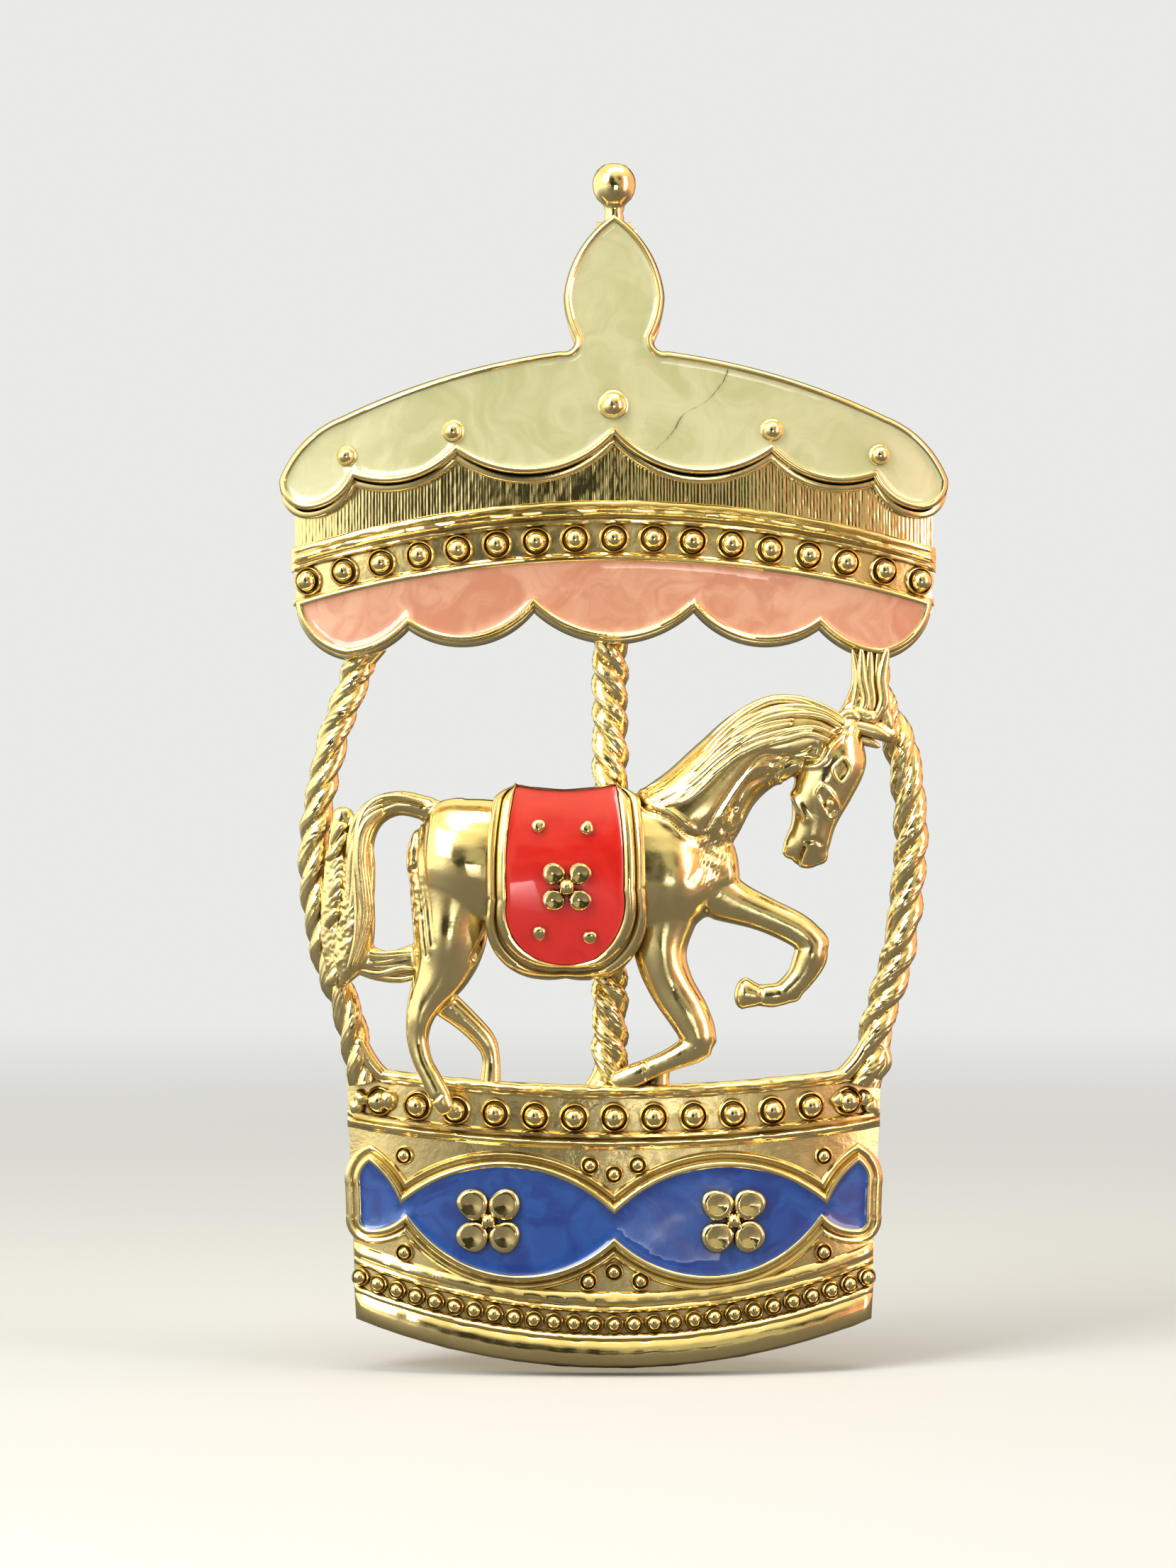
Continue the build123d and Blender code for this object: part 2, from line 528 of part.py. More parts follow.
pieces = canopy() | drum()
pieces |= poles(pieces["canopy_plate"] + pieces["drum_plate"] + pieces["drum_top_moulding"])
pole_solids = [pieces[name] for name in ("pole_left", "pole_centre", "pole_right")]
horse_body = horse(pole_solids)
pieces["horse"] = horse_body
pieces |= saddle(horse_body, pieces["pole_centre"])
pieces |= hinge() | catch()
pieces["pin_stem"] = pin_stem()
write(pieces)
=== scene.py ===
import math

import bmesh
import bpy
import numpy as np
from bpy.props import FloatProperty, FloatVectorProperty, PointerProperty
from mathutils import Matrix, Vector
from mathutils.geometry import delaunay_2d_cdt


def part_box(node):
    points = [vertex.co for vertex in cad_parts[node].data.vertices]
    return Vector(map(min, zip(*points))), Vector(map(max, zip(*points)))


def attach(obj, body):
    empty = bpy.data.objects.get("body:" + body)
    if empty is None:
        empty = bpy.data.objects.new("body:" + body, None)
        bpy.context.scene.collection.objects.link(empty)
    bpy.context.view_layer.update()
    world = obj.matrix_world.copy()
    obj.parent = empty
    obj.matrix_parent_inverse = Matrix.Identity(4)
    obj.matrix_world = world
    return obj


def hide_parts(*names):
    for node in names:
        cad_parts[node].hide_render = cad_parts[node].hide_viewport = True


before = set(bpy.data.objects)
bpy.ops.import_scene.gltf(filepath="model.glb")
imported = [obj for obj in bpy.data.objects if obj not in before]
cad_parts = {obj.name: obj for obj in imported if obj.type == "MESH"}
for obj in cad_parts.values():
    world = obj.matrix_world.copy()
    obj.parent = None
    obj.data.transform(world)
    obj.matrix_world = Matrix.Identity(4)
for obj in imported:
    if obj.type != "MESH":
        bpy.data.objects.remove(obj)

bl_info = {
    "name": "Carousel brooch",
    "version": (1, 0, 0),
    "blender": (4, 5, 0),
    "location": "View3D > Sidebar > Brooch",
    "description": "Builds the cast, enamelled and twisted-rope pieces of a carousel brooch",
    "category": "Object",
}

# Shapes are drawn in millimetres as (x, height above the foot) with y for depth, and turned
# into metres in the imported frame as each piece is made.
MM = 0.001
FOOT_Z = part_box("drum_foot")[0].z
BACK_Y = 0.4
CANOPY_BOW = (18.0, 4.5)
DRUM_BOW = (14.6, 4.2)
CANOPY_ARCH = (-2.25, 16.2)
DRUM_ARCH = (0.95, 13.45)
FOOT_ARCH = (2.20, 13.0)
BODY_Y = -3.6
NEAR_Y = -4.1
FAR_Y = -3.2
TAIL_Y = -3.3
HORSE_BACK_Y = -2.8
ROPE_RINGS = 330
GRID_SPACING = 0.28
WALL_CLIMB = 0.14
ENAMEL_OVERLAP = 0.03
CORNER_LIMIT = 0.35
RANDOM = np.random.default_rng(11)


# ---------------------------------------------------------------- outlines

def arc(start, middle, end, step):
    """Points along the circle through three points, the first left out."""
    a, b, c = (np.array(p, float) for p in (start, middle, end))
    d = 2 * (a[0] * (b[1] - c[1]) + b[0] * (c[1] - a[1]) + c[0] * (a[1] - b[1]))
    if abs(d) < 1e-9:
        return line(start, end, step)
    squares = np.array([a @ a, b @ b, c @ c])
    centre = np.array([
        squares @ np.array([b[1] - c[1], c[1] - a[1], a[1] - b[1]]),
        squares @ np.array([c[0] - b[0], a[0] - c[0], b[0] - a[0]]),
    ]) / d
    angle = [math.atan2(*(p - centre)[::-1]) for p in (a, b, c)]
    sweep = (angle[2] - angle[0]) % math.tau
    if (angle[1] - angle[0]) % math.tau > sweep:
        sweep -= math.tau
    radius = np.linalg.norm(a - centre)
    count = max(2, round(abs(sweep) * radius / step))
    turns = angle[0] + sweep * np.arange(1, count + 1) / count
    return centre + radius * np.stack([np.cos(turns), np.sin(turns)], 1)


def line(start, end, step):
    start, end = np.array(start, float), np.array(end, float)
    count = max(1, round(np.linalg.norm(end - start) / step))
    return start + (end - start) * (np.arange(1, count + 1) / count)[:, None]


def run(start, segments, step=0.12):
    """Points along lines (end,) and arcs (middle, end) that follow each other."""
    points = [np.array([start], float)]
    for segment in segments:
        here = points[-1][-1]
        points.append(line(here, segment[0], step) if len(segment) == 1 else arc(here, *segment, step))
    return np.concatenate(points)


def outline(start, segments, step=0.12):
    """Closed outline from its right half, which runs from top centre to bottom centre."""
    right = run(start, segments, step)
    left = right[-2:0:-1] * (-1, 1)
    return np.concatenate([right, left])


def smooth_path(points, count):
    """Points evenly spread along a smooth curve through the given ones, any width of row."""
    p = np.array(points, float)
    p = np.concatenate([[2 * p[0] - p[1]], p, [2 * p[-1] - p[-2]]])
    at = np.linspace(0, len(points) - 1 - 1e-9, count)
    i = at.astype(int)
    t = (at - i)[:, None]
    a, b, c, d = p[i], p[i + 1], p[i + 2], p[i + 3]
    return 0.5 * (2 * b + (c - a) * t + (2 * a - 5 * b + 4 * c - d) * t ** 2
                  + (3 * b - a - 3 * c + d) * t ** 3)


def dense(points, step=0.04):
    """The closed outline again with more points along its edges."""
    closed = np.concatenate([points, points[:1]])
    parts = [line(a, b, step) for a, b in zip(closed[:-1], closed[1:])]
    return np.concatenate(parts)


def nearest(points, others):
    """Distance from each point to the nearest of the others."""
    found = [
        np.sqrt(((part[:, None] - others[None]) ** 2).sum(2).min(1))
        for part in np.array_split(points, max(1, len(points) // 400))
    ]
    return np.concatenate(found)


def inset(points, distance):
    """The closed outline moved inwards. Points that would cross at a corner stay together."""
    if abs(distance) < 1e-6:
        return points.copy()
    following = np.roll(points, -1, 0)
    area = (points[:, 0] * following[:, 1] - following[:, 0] * points[:, 1]).sum()
    ahead = following - points
    ahead /= np.linalg.norm(ahead, axis=1)[:, None] + 1e-12
    behind = np.roll(ahead, 1, 0)
    turn = np.sign(area)
    normal_a = np.stack([-ahead[:, 1], ahead[:, 0]], 1) * turn
    normal_b = np.stack([-behind[:, 1], behind[:, 0]], 1) * turn
    both = normal_a + normal_b
    both /= np.maximum(CORNER_LIMIT, (1 + (normal_a * normal_b).sum(1)))[:, None]
    moved = points + both * distance
    allowed = abs(distance) * 0.96 - 0.012
    good = nearest(moved, dense(points)) > allowed
    order = np.arange(len(points))
    kept = order[good]
    gap = np.abs((order[:, None] - kept[None] + len(points) // 2) % len(points) - len(points) // 2)
    return moved[kept[gap.argmin(1)]]


# ---------------------------------------------------------------- surfaces

class Bow:
    """Half an ellipse in plan, standing upright."""

    def __init__(self, half_width, depth):
        self.half_width, self.depth = half_width, depth

    def place(self, points, lift):
        x, height = points[:, 0], points[:, 1]
        share = np.clip(1 - (x / (self.half_width + lift)) ** 2, 0.01, 1)
        return np.stack([x, BACK_Y - (self.depth + lift) * np.sqrt(share), height], 1)

    def stand(self, x, height, lift=0.0):
        """Middle and axes of something standing on the surface; the last axis points out."""
        y = -self.depth * math.sqrt(1 - (x / self.half_width) ** 2)
        out = np.array([x / self.half_width ** 2, y / self.depth ** 2, 0])
        out /= np.linalg.norm(out)
        up = np.array([0, 0, 1.0])
        return np.array([x, BACK_Y + y, height]) + out * lift, np.stack([np.cross(up, out), up, out])


class Barrel:
    """Half an ellipse seen from the end, lying along x, as the saddle does."""

    def __init__(self, middle, half_height, depth, y):
        self.middle, self.half_height, self.depth, self.y = middle, half_height, depth, y

    def place(self, points, lift):
        x, height = points[:, 0], points[:, 1]
        share = np.clip(1 - ((height - self.middle) / (self.half_height + lift)) ** 2, 0.02, 1)
        return np.stack([x, self.y - (self.depth + lift) * np.sqrt(share), height], 1)

    def stand(self, x, height, lift=0.0):
        rise = height - self.middle
        y = -self.depth * math.sqrt(1 - (rise / self.half_height) ** 2)
        out = np.array([0, y / self.depth ** 2, rise / self.half_height ** 2])
        out /= np.linalg.norm(out)
        side = np.array([1.0, 0, 0])
        return np.array([x, self.y + y, height]) + out * lift, np.stack([side, np.cross(out, side), out])


CANOPY = Bow(*CANOPY_BOW)
DRUM = Bow(*DRUM_BOW)
SADDLE = Barrel(24.6, 5.3, 2.7, BODY_Y)


# ---------------------------------------------------------------- shapes

class Shape:
    """Vertices as (x, y, height) in millimetres, and faces."""

    def __init__(self):
        self.parts, self.faces, self.count = [], [], 0

    def add(self, vertices, faces):
        self.parts.append(np.asarray(vertices, float))
        self.faces += [[i + self.count for i in face] for face in faces]
        self.count += len(vertices)

    def rings(self, rings, closed=True, start_cap=False, end_cap=False):
        """Skin between rings of equally many points."""
        rows, across = len(rings), len(rings[0])
        last = across if closed else across - 1
        faces = [
            [r * across + c, r * across + (c + 1) % across,
             (r + 1) * across + (c + 1) % across, (r + 1) * across + c]
            for r in range(rows - 1) for c in range(last)
        ]
        if start_cap:
            faces.append(list(range(across))[::-1])
        if end_cap:
            faces.append([(rows - 1) * across + c for c in range(across)])
        self.add(np.concatenate(rings), faces)

    def vertices(self):
        return np.concatenate(self.parts)


def lathe(shape, place, profile, segments=24, wobble=0.0):
    """A turned solid of (radius, rise) stood on a place."""
    middle, axes = place
    turns = math.tau * np.arange(segments) / segments
    bulge = 1 + sum(wobble * np.sin(turns * waves + RANDOM.uniform(0, 6)) for waves in (2, 3))
    rings = []
    for radius, rise in profile:
        local = np.stack([radius * bulge * np.cos(turns), radius * bulge * np.sin(turns),
                          np.full(segments, rise)], 1)
        rings.append(middle + local @ axes)
    shape.rings(rings, end_cap=True)


def ball_profile(radius, low=-0.5, count=9):
    """From the shoulder under the widest line up to near the top, as a share of the radius."""
    angles = np.linspace(math.asin(low), math.pi / 2 * 0.97, count)
    return [(radius * math.cos(a), radius * math.sin(a)) for a in angles]


def rim(shape, surface, points, profile, drop=0.0):
    """A rounded wall along a closed outline, from (inset, lift) steps."""
    shape.rings([surface.place(inset(points, i) - (0, drop), lift) for i, lift in profile])


def ripple(count, size, seed):
    """A slow, uneven wave for edges that were filed by hand."""
    at = np.linspace(0, 1, count)
    made = np.random.default_rng(seed)
    return size * sum(np.sin(at * f * math.tau + made.uniform(0, 6)) / 4 for f in (5, 9, 14, 23))


def ridge(shape, surface, rule, level, half_top, profile, seed, rough=0.025, half_bottom=None):
    """A moulding along an arch, from (drop below level, lift) steps, with rounded ends."""
    half_bottom = half_bottom or half_top
    depth = profile[-1][0] or 1
    count = int(2 * half_top / 0.16)
    share = np.linspace(-1, 1, count)
    ends = np.clip((1 - np.abs(share)) * half_top / 0.25, 0, 1) ** 0.5
    rings = []
    for row, (drop, lift) in enumerate(profile):
        half = half_top + (half_bottom - half_top) * drop / depth
        x = share * half
        height = level + rule[0] * (x / rule[1]) ** 2 - drop + ripple(count, rough, seed + row // 3)
        points = np.stack([x, height], 1)
        base = profile[0][1]
        high = base + (lift - base) * ends + ripple(count, rough, seed + 50 + row // 2)
        rings.append(surface.place(points, high))
    shape.rings(rings, closed=False)


def fill(shape, surface, points, level, meniscus=0.10, seed=3, sink=0.0):
    """The top of a cell full of enamel, which climbs a little at its walls."""
    walls = dense(points)
    rings = [inset(points, distance) for distance in (0.06, 0.16, 0.30)]
    low, high = points.min(0), points.max(0)
    grid = np.stack(np.meshgrid(np.arange(low[0], high[0], GRID_SPACING),
                                np.arange(low[1], high[1], GRID_SPACING)), -1).reshape(-1, 2)
    grid[:, 0] += (np.round(grid[:, 1] / GRID_SPACING).astype(int) % 2) * GRID_SPACING / 2
    inside = crossing(grid, points) & (nearest(grid, walls) > 0.36)
    extra = [ring[nearest(ring, walls) > 0.03] for ring in rings]
    every = np.concatenate([points, *extra, grid[inside]])
    edges = [(i, (i + 1) % len(points)) for i in range(len(points))]
    result = delaunay_2d_cdt([Vector(p) for p in every], edges, [], 1, 1e-5)
    flat = np.array([list(v) for v in result[0]])
    away = nearest(flat, walls)
    made = np.random.default_rng(seed)
    waves = sum(np.sin(flat @ made.normal(0, 0.9, 2) + made.uniform(0, 6)) for _ in range(5)) / 5
    climb = meniscus * np.exp(-away / WALL_CLIMB)
    lift = level + climb + 0.03 * waves - sink * np.clip(away / 1.6, 0, 1)
    shape.add(surface.place(flat, lift), [list(f) for f in result[2]])


def crossing(points, polygon):
    """Which points lie inside a closed outline."""
    inside = np.zeros(len(points), bool)
    for a, b in zip(polygon, np.roll(polygon, -1, 0)):
        if a[1] == b[1]:
            continue
        spans = (points[:, 1] < a[1]) != (points[:, 1] < b[1])
        at = a[0] + (points[:, 1] - a[1]) * (b[0] - a[0]) / (b[1] - a[1])
        inside ^= spans & (points[:, 0] < at)
    return inside


def with_depth(path, y):
    """A flat path of (x, height) as (x, y, height)."""
    return np.stack([path[:, 0], np.broadcast_to(y, len(path)), path[:, 1]], 1)


def tube(shape, path, radius, segments=16, relief=None, flat=1.0):
    """A bar along a path of (x, y, height). Relief gives a factor on its radius at each angle
    round it, for a length along it."""
    path = np.asarray(path, float)
    radius = np.broadcast_to(radius, len(path))
    along = np.gradient(path, axis=0)
    along /= np.linalg.norm(along, axis=1)[:, None]
    front = np.array([0, -1.0, 0])
    length = np.concatenate([[0], np.cumsum(np.linalg.norm(np.diff(path, axis=0), axis=1))])
    turns = math.tau * np.arange(segments) / segments
    rings = []
    for point, direction, size, far in zip(path, along, radius, length):
        side = np.cross(direction, front)
        side /= np.linalg.norm(side) + 1e-9
        out = np.cross(side, direction)
        reach = size * (relief(turns, far) if relief else np.ones(segments))
        rings.append(point + (reach * np.cos(turns))[:, None] * side
                     + (flat * reach * np.sin(turns))[:, None] * out)
    shape.rings(rings, start_cap=True, end_cap=True)


def tapered(count, radius, start, end, share):
    """Radius along a bar whose ends narrow."""
    at = np.linspace(0, 1, count)
    first = start + (1 - start) * np.clip(at / share, 0, 1) ** 0.5
    final = end + (1 - end) * np.clip((1 - at) / share, 0, 1) ** 0.5
    return radius * np.minimum(first, final)


# ---------------------------------------------------------------- pieces

def link(name, data):
    made = bpy.data.objects.new(name, data)
    bpy.context.scene.collection.objects.link(made)
    return made


def piece(name, shape, finish, nodes=(), sharp=40, body="root"):
    """Turns a shape into an object in the frame."""
    vertices = shape.vertices() * MM
    vertices[:, 2] += FOOT_Z
    mesh = bpy.data.meshes.new(name)
    mesh.from_pydata(vertices.tolist(), [], shape.faces)
    mesh.validate()
    made = link(name, mesh)
    mesh.polygons.foreach_set("use_smooth", [True] * len(mesh.polygons))
    face_out(mesh)
    mesh.set_sharp_from_angle(angle=math.radians(sharp))
    mesh.materials.append(bpy.data.materials[finish])
    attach(made, body)
    if nodes:
        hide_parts(*nodes)


def face_out(mesh):
    """Makes the faces of each connected part agree, and point to the front on the whole."""
    work = bmesh.new()
    work.from_mesh(mesh)
    bmesh.ops.remove_doubles(work, verts=work.verts, dist=2e-7)
    bmesh.ops.recalc_face_normals(work, faces=work.faces)
    seen = set()
    for face in work.faces:
        if face.index in seen:
            continue
        part, waiting = [], [face]
        seen.add(face.index)
        while waiting:
            here = waiting.pop()
            part.append(here)
            for edge in here.edges:
                for other in edge.link_faces:
                    if other.index not in seen:
                        seen.add(other.index)
                        waiting.append(other)
        is_open = any(len(e.link_faces) == 1 for f in part for e in f.edges)
        if is_open and sum(f.normal.y * f.calc_area() for f in part) > 0:
            bmesh.ops.reverse_faces(work, faces=part)
    work.to_mesh(mesh)
    work.free()


# ---------------------------------------------------------------- materials

class Net:
    """Short ways of adding and joining shader nodes."""

    def __init__(self, tree):
        self.tree = tree

    def add(self, kind, settings=None, **inputs):
        node = self.tree.nodes.new(kind)
        for name, value in (settings or {}).items():
            setattr(node, name, value)
        for name, value in inputs.items():
            self.put(node.inputs[name.replace("_", " ")], value)
        return node

    def put(self, socket, value):
        if isinstance(value, bpy.types.NodeSocket):
            self.tree.links.new(value, socket)
        else:
            socket.default_value = value

    def math(self, operation, *values, clamp=False):
        node = self.add("ShaderNodeMath", {"operation": operation, "use_clamp": clamp})
        for socket, value in zip(node.inputs, values):
            self.put(socket, value)
        return node.outputs[0]

    def mix(self, factor, first, second):
        node = self.add("ShaderNodeMix", {"data_type": "RGBA"})
        self.put(node.inputs[0], factor)
        self.put(node.inputs[6], first)
        self.put(node.inputs[7], second)
        return node.outputs[2]

    def spread(self, value, low, high, to_low=0.0, to_high=1.0):
        node = self.add("ShaderNodeMapRange", {"interpolation_type": "SMOOTHSTEP"})
        for name, v in (("Value", value), ("From Min", low), ("From Max", high),
                        ("To Min", to_low), ("To Max", to_high)):
            self.put(node.inputs[name], v)
        return node.outputs[0]

    def noise(self, where, size, detail=3.0, distortion=0.0, roughness=0.5):
        """Noise whose features are about size metres across."""
        node = self.add("ShaderNodeTexNoise", Vector=where, Scale=1 / size, Detail=detail,
                        Distortion=distortion, Roughness=roughness)
        return node.outputs["Fac"]


def node_group(name, inputs, outputs):
    tree = bpy.data.node_groups.new(name, "ShaderNodeTree")
    for label, kind, value in inputs:
        tree.interface.new_socket(name=label, in_out="INPUT", socket_type=kind).default_value = value
    for label, kind in outputs:
        tree.interface.new_socket(name=label, in_out="OUTPUT", socket_type=kind)
    net = Net(tree)
    return net, net.add("NodeGroupInput").outputs, net.add("NodeGroupOutput").inputs


def cast_wear_and_shade_group():
    """Gold plate over a casting: recesses darkened with painted shade, which also stands for their tarnish,
    slow changes of tone, and a fine grain.
    """
    net, given, made = node_group(
        "cast metal wear",
        [("Bright", "NodeSocketColor", (1, 1, 1, 1)), ("Shadow", "NodeSocketColor", (0, 0, 0, 1)),
         ("Recess Depth", "NodeSocketFloat", 0.0007), ("Grain", "NodeSocketFloat", 0.2),
         ("Roughness", "NodeSocketFloat", 0.16)],
        [("Color", "NodeSocketColor"), ("Roughness", "NodeSocketFloat"), ("Normal", "NodeSocketVector")])
    where = net.add("ShaderNodeTexCoord").outputs["Object"]
    shade = net.add("ShaderNodeAmbientOcclusion", {"samples": 8})
    net.put(shade.inputs["Distance"], given["Recess Depth"])
    open_share = net.spread(shade.outputs["AO"], 0.14, 0.74)
    tone = net.noise(where, 0.004, 4.0, 1.0)
    light = net.math("ADD", open_share, net.spread(tone, 0.3, 0.7, -0.10, 0.06), clamp=True)
    # Painted shade: where the occlusion mask finds a recess, the colour goes from Bright towards the Shadow
    # colour.
    net.put(made["Color"], net.mix(light, given["Shadow"], given["Bright"]))
    grain = net.noise(where, 0.00022, 3.0)
    scuffs = net.noise(where, 0.0011, 5.0, 0.6)
    rough = net.math("ADD", given["Roughness"], net.spread(scuffs, 0.35, 0.75, -0.04, 0.10))
    dull = net.math("MULTIPLY", net.math("SUBTRACT", 1.0, open_share), 0.22)
    net.put(made["Roughness"], net.math("ADD", rough, dull, clamp=True))
    height = net.math("ADD", net.math("MULTIPLY", grain, 0.35), scuffs)
    bump = net.add("ShaderNodeBump", Distance=0.00006)
    net.put(bump.inputs["Strength"], given["Grain"])
    net.put(bump.inputs["Height"], height)
    net.put(made["Normal"], bump.outputs[0])
    return net.tree


def pearl_group():
    """Pearly swirls of two tones with a faint sparkle, painted shade that darkens the enamel next to its cell
    walls, and gentle waves of the surface.
    """
    net, given, made = node_group(
        "pearl swirl",
        [("Pale", "NodeSocketColor", (1, 1, 1, 1)), ("Deep", "NodeSocketColor", (0, 0, 0, 1)),
         ("Swirl Size", "NodeSocketFloat", 0.004), ("Contrast", "NodeSocketFloat", 0.5),
         ("Edge Depth", "NodeSocketFloat", 0.0004)],
        [("Color", "NodeSocketColor"), ("Sheen", "NodeSocketFloat"), ("Normal", "NodeSocketVector")])
    where = net.add("ShaderNodeTexCoord").outputs["Object"]
    scale = net.math("DIVIDE", 1.0, given["Swirl Size"])
    warp = net.add("ShaderNodeTexNoise", Vector=where, Detail=2.0)
    net.put(warp.inputs["Scale"], scale)
    bent = net.add("ShaderNodeVectorMath", {"operation": "MULTIPLY_ADD"})
    net.put(bent.inputs[0], warp.outputs["Color"])
    bent.inputs[1].default_value = (0.006, 0.006, 0.006)
    net.put(bent.inputs[2], where)
    swirl = net.add("ShaderNodeTexNoise", Detail=4.0, Distortion=1.6, Roughness=0.55)
    net.put(swirl.inputs["Vector"], bent.outputs[0])
    net.put(swirl.inputs["Scale"], scale)
    share = net.spread(swirl.outputs["Fac"], 0.34, 0.66)
    strength = net.math("MULTIPLY", share, given["Contrast"])
    blended = net.mix(strength, given["Deep"], given["Pale"])
    flakes = net.noise(where, 0.00012, 1.0)
    spark = net.spread(flakes, 0.55, 0.75, 0.0, 0.10)
    # Painted shade: an occlusion mask darkens the enamel's colour where it meets the walls of its cell.
    wall = net.add("ShaderNodeAmbientOcclusion", {"samples": 8})
    net.put(wall.inputs["Distance"], given["Edge Depth"])
    edge = net.spread(wall.outputs["AO"], 0.35, 0.95, 0.62, 1.0)
    darker = net.add("ShaderNodeMix", {"data_type": "RGBA", "blend_type": "MULTIPLY"})
    darker.inputs[0].default_value = 1.0
    net.put(darker.inputs[6], net.mix(spark, blended, given["Pale"]))
    net.put(darker.inputs[7], edge)
    net.put(made["Color"], darker.outputs[2])
    net.put(made["Sheen"], net.math("ADD", net.math("MULTIPLY", share, 0.5), 0.25))
    bump = net.add("ShaderNodeBump", Strength=0.25, Distance=0.00015)
    net.put(bump.inputs["Height"], net.noise(where, 0.0028, 2.0, 0.5))
    net.put(made["Normal"], bump.outputs[0])
    return net.tree


def new_material(name):
    """A material, the short ways into its nodes, and its shader's inputs."""
    material = bpy.data.materials.new(name)
    material.use_nodes = True
    return material, Net(material.node_tree), material.node_tree.nodes["Principled BSDF"].inputs


def metal(name, bright, shadow, roughness=0.16, grain=0.2, recess=0.0007):
    _, net, shader = new_material(name)
    # The group gives this gold its wear and grain, and paints shade into its recesses.
    wear_and_painted_shade = net.add("ShaderNodeGroup", {"node_tree": bpy.data.node_groups["cast metal wear"]},
                   Bright=(*bright, 1), Shadow=(*shadow, 1), Recess_Depth=recess,
                   Grain=grain, Roughness=roughness)
    net.put(shader["Base Color"], wear_and_painted_shade.outputs["Color"])
    net.put(shader["Roughness"], wear_and_painted_shade.outputs["Roughness"])
    net.put(shader["Normal"], wear_and_painted_shade.outputs["Normal"])
    net.put(shader["Metallic"], 1.0)


def enamel(name, pale, deep, swirl, contrast=0.8, metallic=0.15, roughness=0.35):
    _, net, shader = new_material(name)
    # The group's colour carries painted shade next to the cell walls.
    pearl = net.add("ShaderNodeGroup", {"node_tree": bpy.data.node_groups["pearl swirl"]},
                    Pale=(*pale, 1), Deep=(*deep, 1), Swirl_Size=swirl, Contrast=contrast)
    net.put(shader["Base Color"], pearl.outputs["Color"])
    net.put(shader["Metallic"], net.math("MULTIPLY", pearl.outputs["Sheen"], metallic))
    net.put(shader["Coat Normal"], pearl.outputs["Normal"])
    net.put(shader["Roughness"], roughness)
    net.put(shader["Coat Weight"], 1.0)
    net.put(shader["Coat Roughness"], 0.04)
    net.put(shader["Coat IOR"], 1.55)


def make_materials(colours):
    cast_wear_and_shade_group()
    pearl_group()
    gold, shadow = tuple(colours.gold), tuple(colours.gold_shadow)
    metal("gold plate", gold, shadow)
    metal("gold plate smooth", gold, shadow, 0.10, 0.10, 0.0010)
    metal("gold plate rough", gold, shadow, 0.24, 0.45, 0.0005)
    metal("gold findings", gold, shadow, 0.20, 0.25, 0.0009)
    for name, *look in (("celadon", 0.0045), ("pink", 0.0035), ("blue", 0.0032, 0.85, 0.35),
                        ("red", 0.004, 0.4, 0.0, 0.25)):
        pale, deep = (tuple(getattr(colours, name + tone)) for tone in ("_pale", "_deep"))
        enamel(name + " enamel", pale, deep, *look)
    _, net, shader = new_material("crack")
    net.put(shader["Base Color"], (*colours.crack, 1))
    net.put(shader["Roughness"], 0.8)


# ---------------------------------------------------------------- canopy

CROWN = outline((0, 57.4), [
    ((1.62, 55.75), (2.42, 53.4)), ((2.28, 52.4), (1.88, 51.35)), ((1.98, 50.85), (2.65, 50.6)),
    ((8.6, 49.35), (13.6, 47.5)), ((15.6, 46.25), (16.77, 44.5)), ((16.45, 43.45), (15.3, 42.95)),
    ((14.1, 43.3), (13.0, 44.5)), ((10.7, 44.25), (7.85, 45.7)), ((4.7, 44.6), (0, 46.5)),
])
VALANCE = outline((0, 40.55), [
    ((8.0, 40.0), (16.0, 38.35)), ((15.0, 36.4), (13.4, 35.65)), ((11.7, 36.1), (10.3, 37.15)),
    ((7.7, 36.28), (4.0, 38.0)), ((2.2, 36.85), (0, 36.4)),
])
BLUE_CELL = outline((0, 8.1), [
    ((5.4, 10.32), (10.6, 8.55)), ((11.4, 9.75), (12.3, 10.5)), ((12.95, 9.8), (13.05, 8.9)),
    ((13.0, 7.4),), ((12.8, 6.7), (12.2, 6.5)), ((11.2, 6.7), (10.45, 7.2)),
    ((5.3, 4.35), (0, 6.15)),
], 0.1)
SADDLE_CELL = run((-4.85, 29.1), [
    ((-2.3, 28.85), (0.05, 29.15)), ((0.38, 26.6), (0.44, 23.9)), ((0.12, 21.75), (-1.0, 20.5)),
    ((-2.4, 20.22), (-3.7, 20.45)), ((-4.9, 21.45), (-5.28, 23.4)), ((-5.26, 26.4), (-4.85, 29.1)),
], 0.1)[:-1]


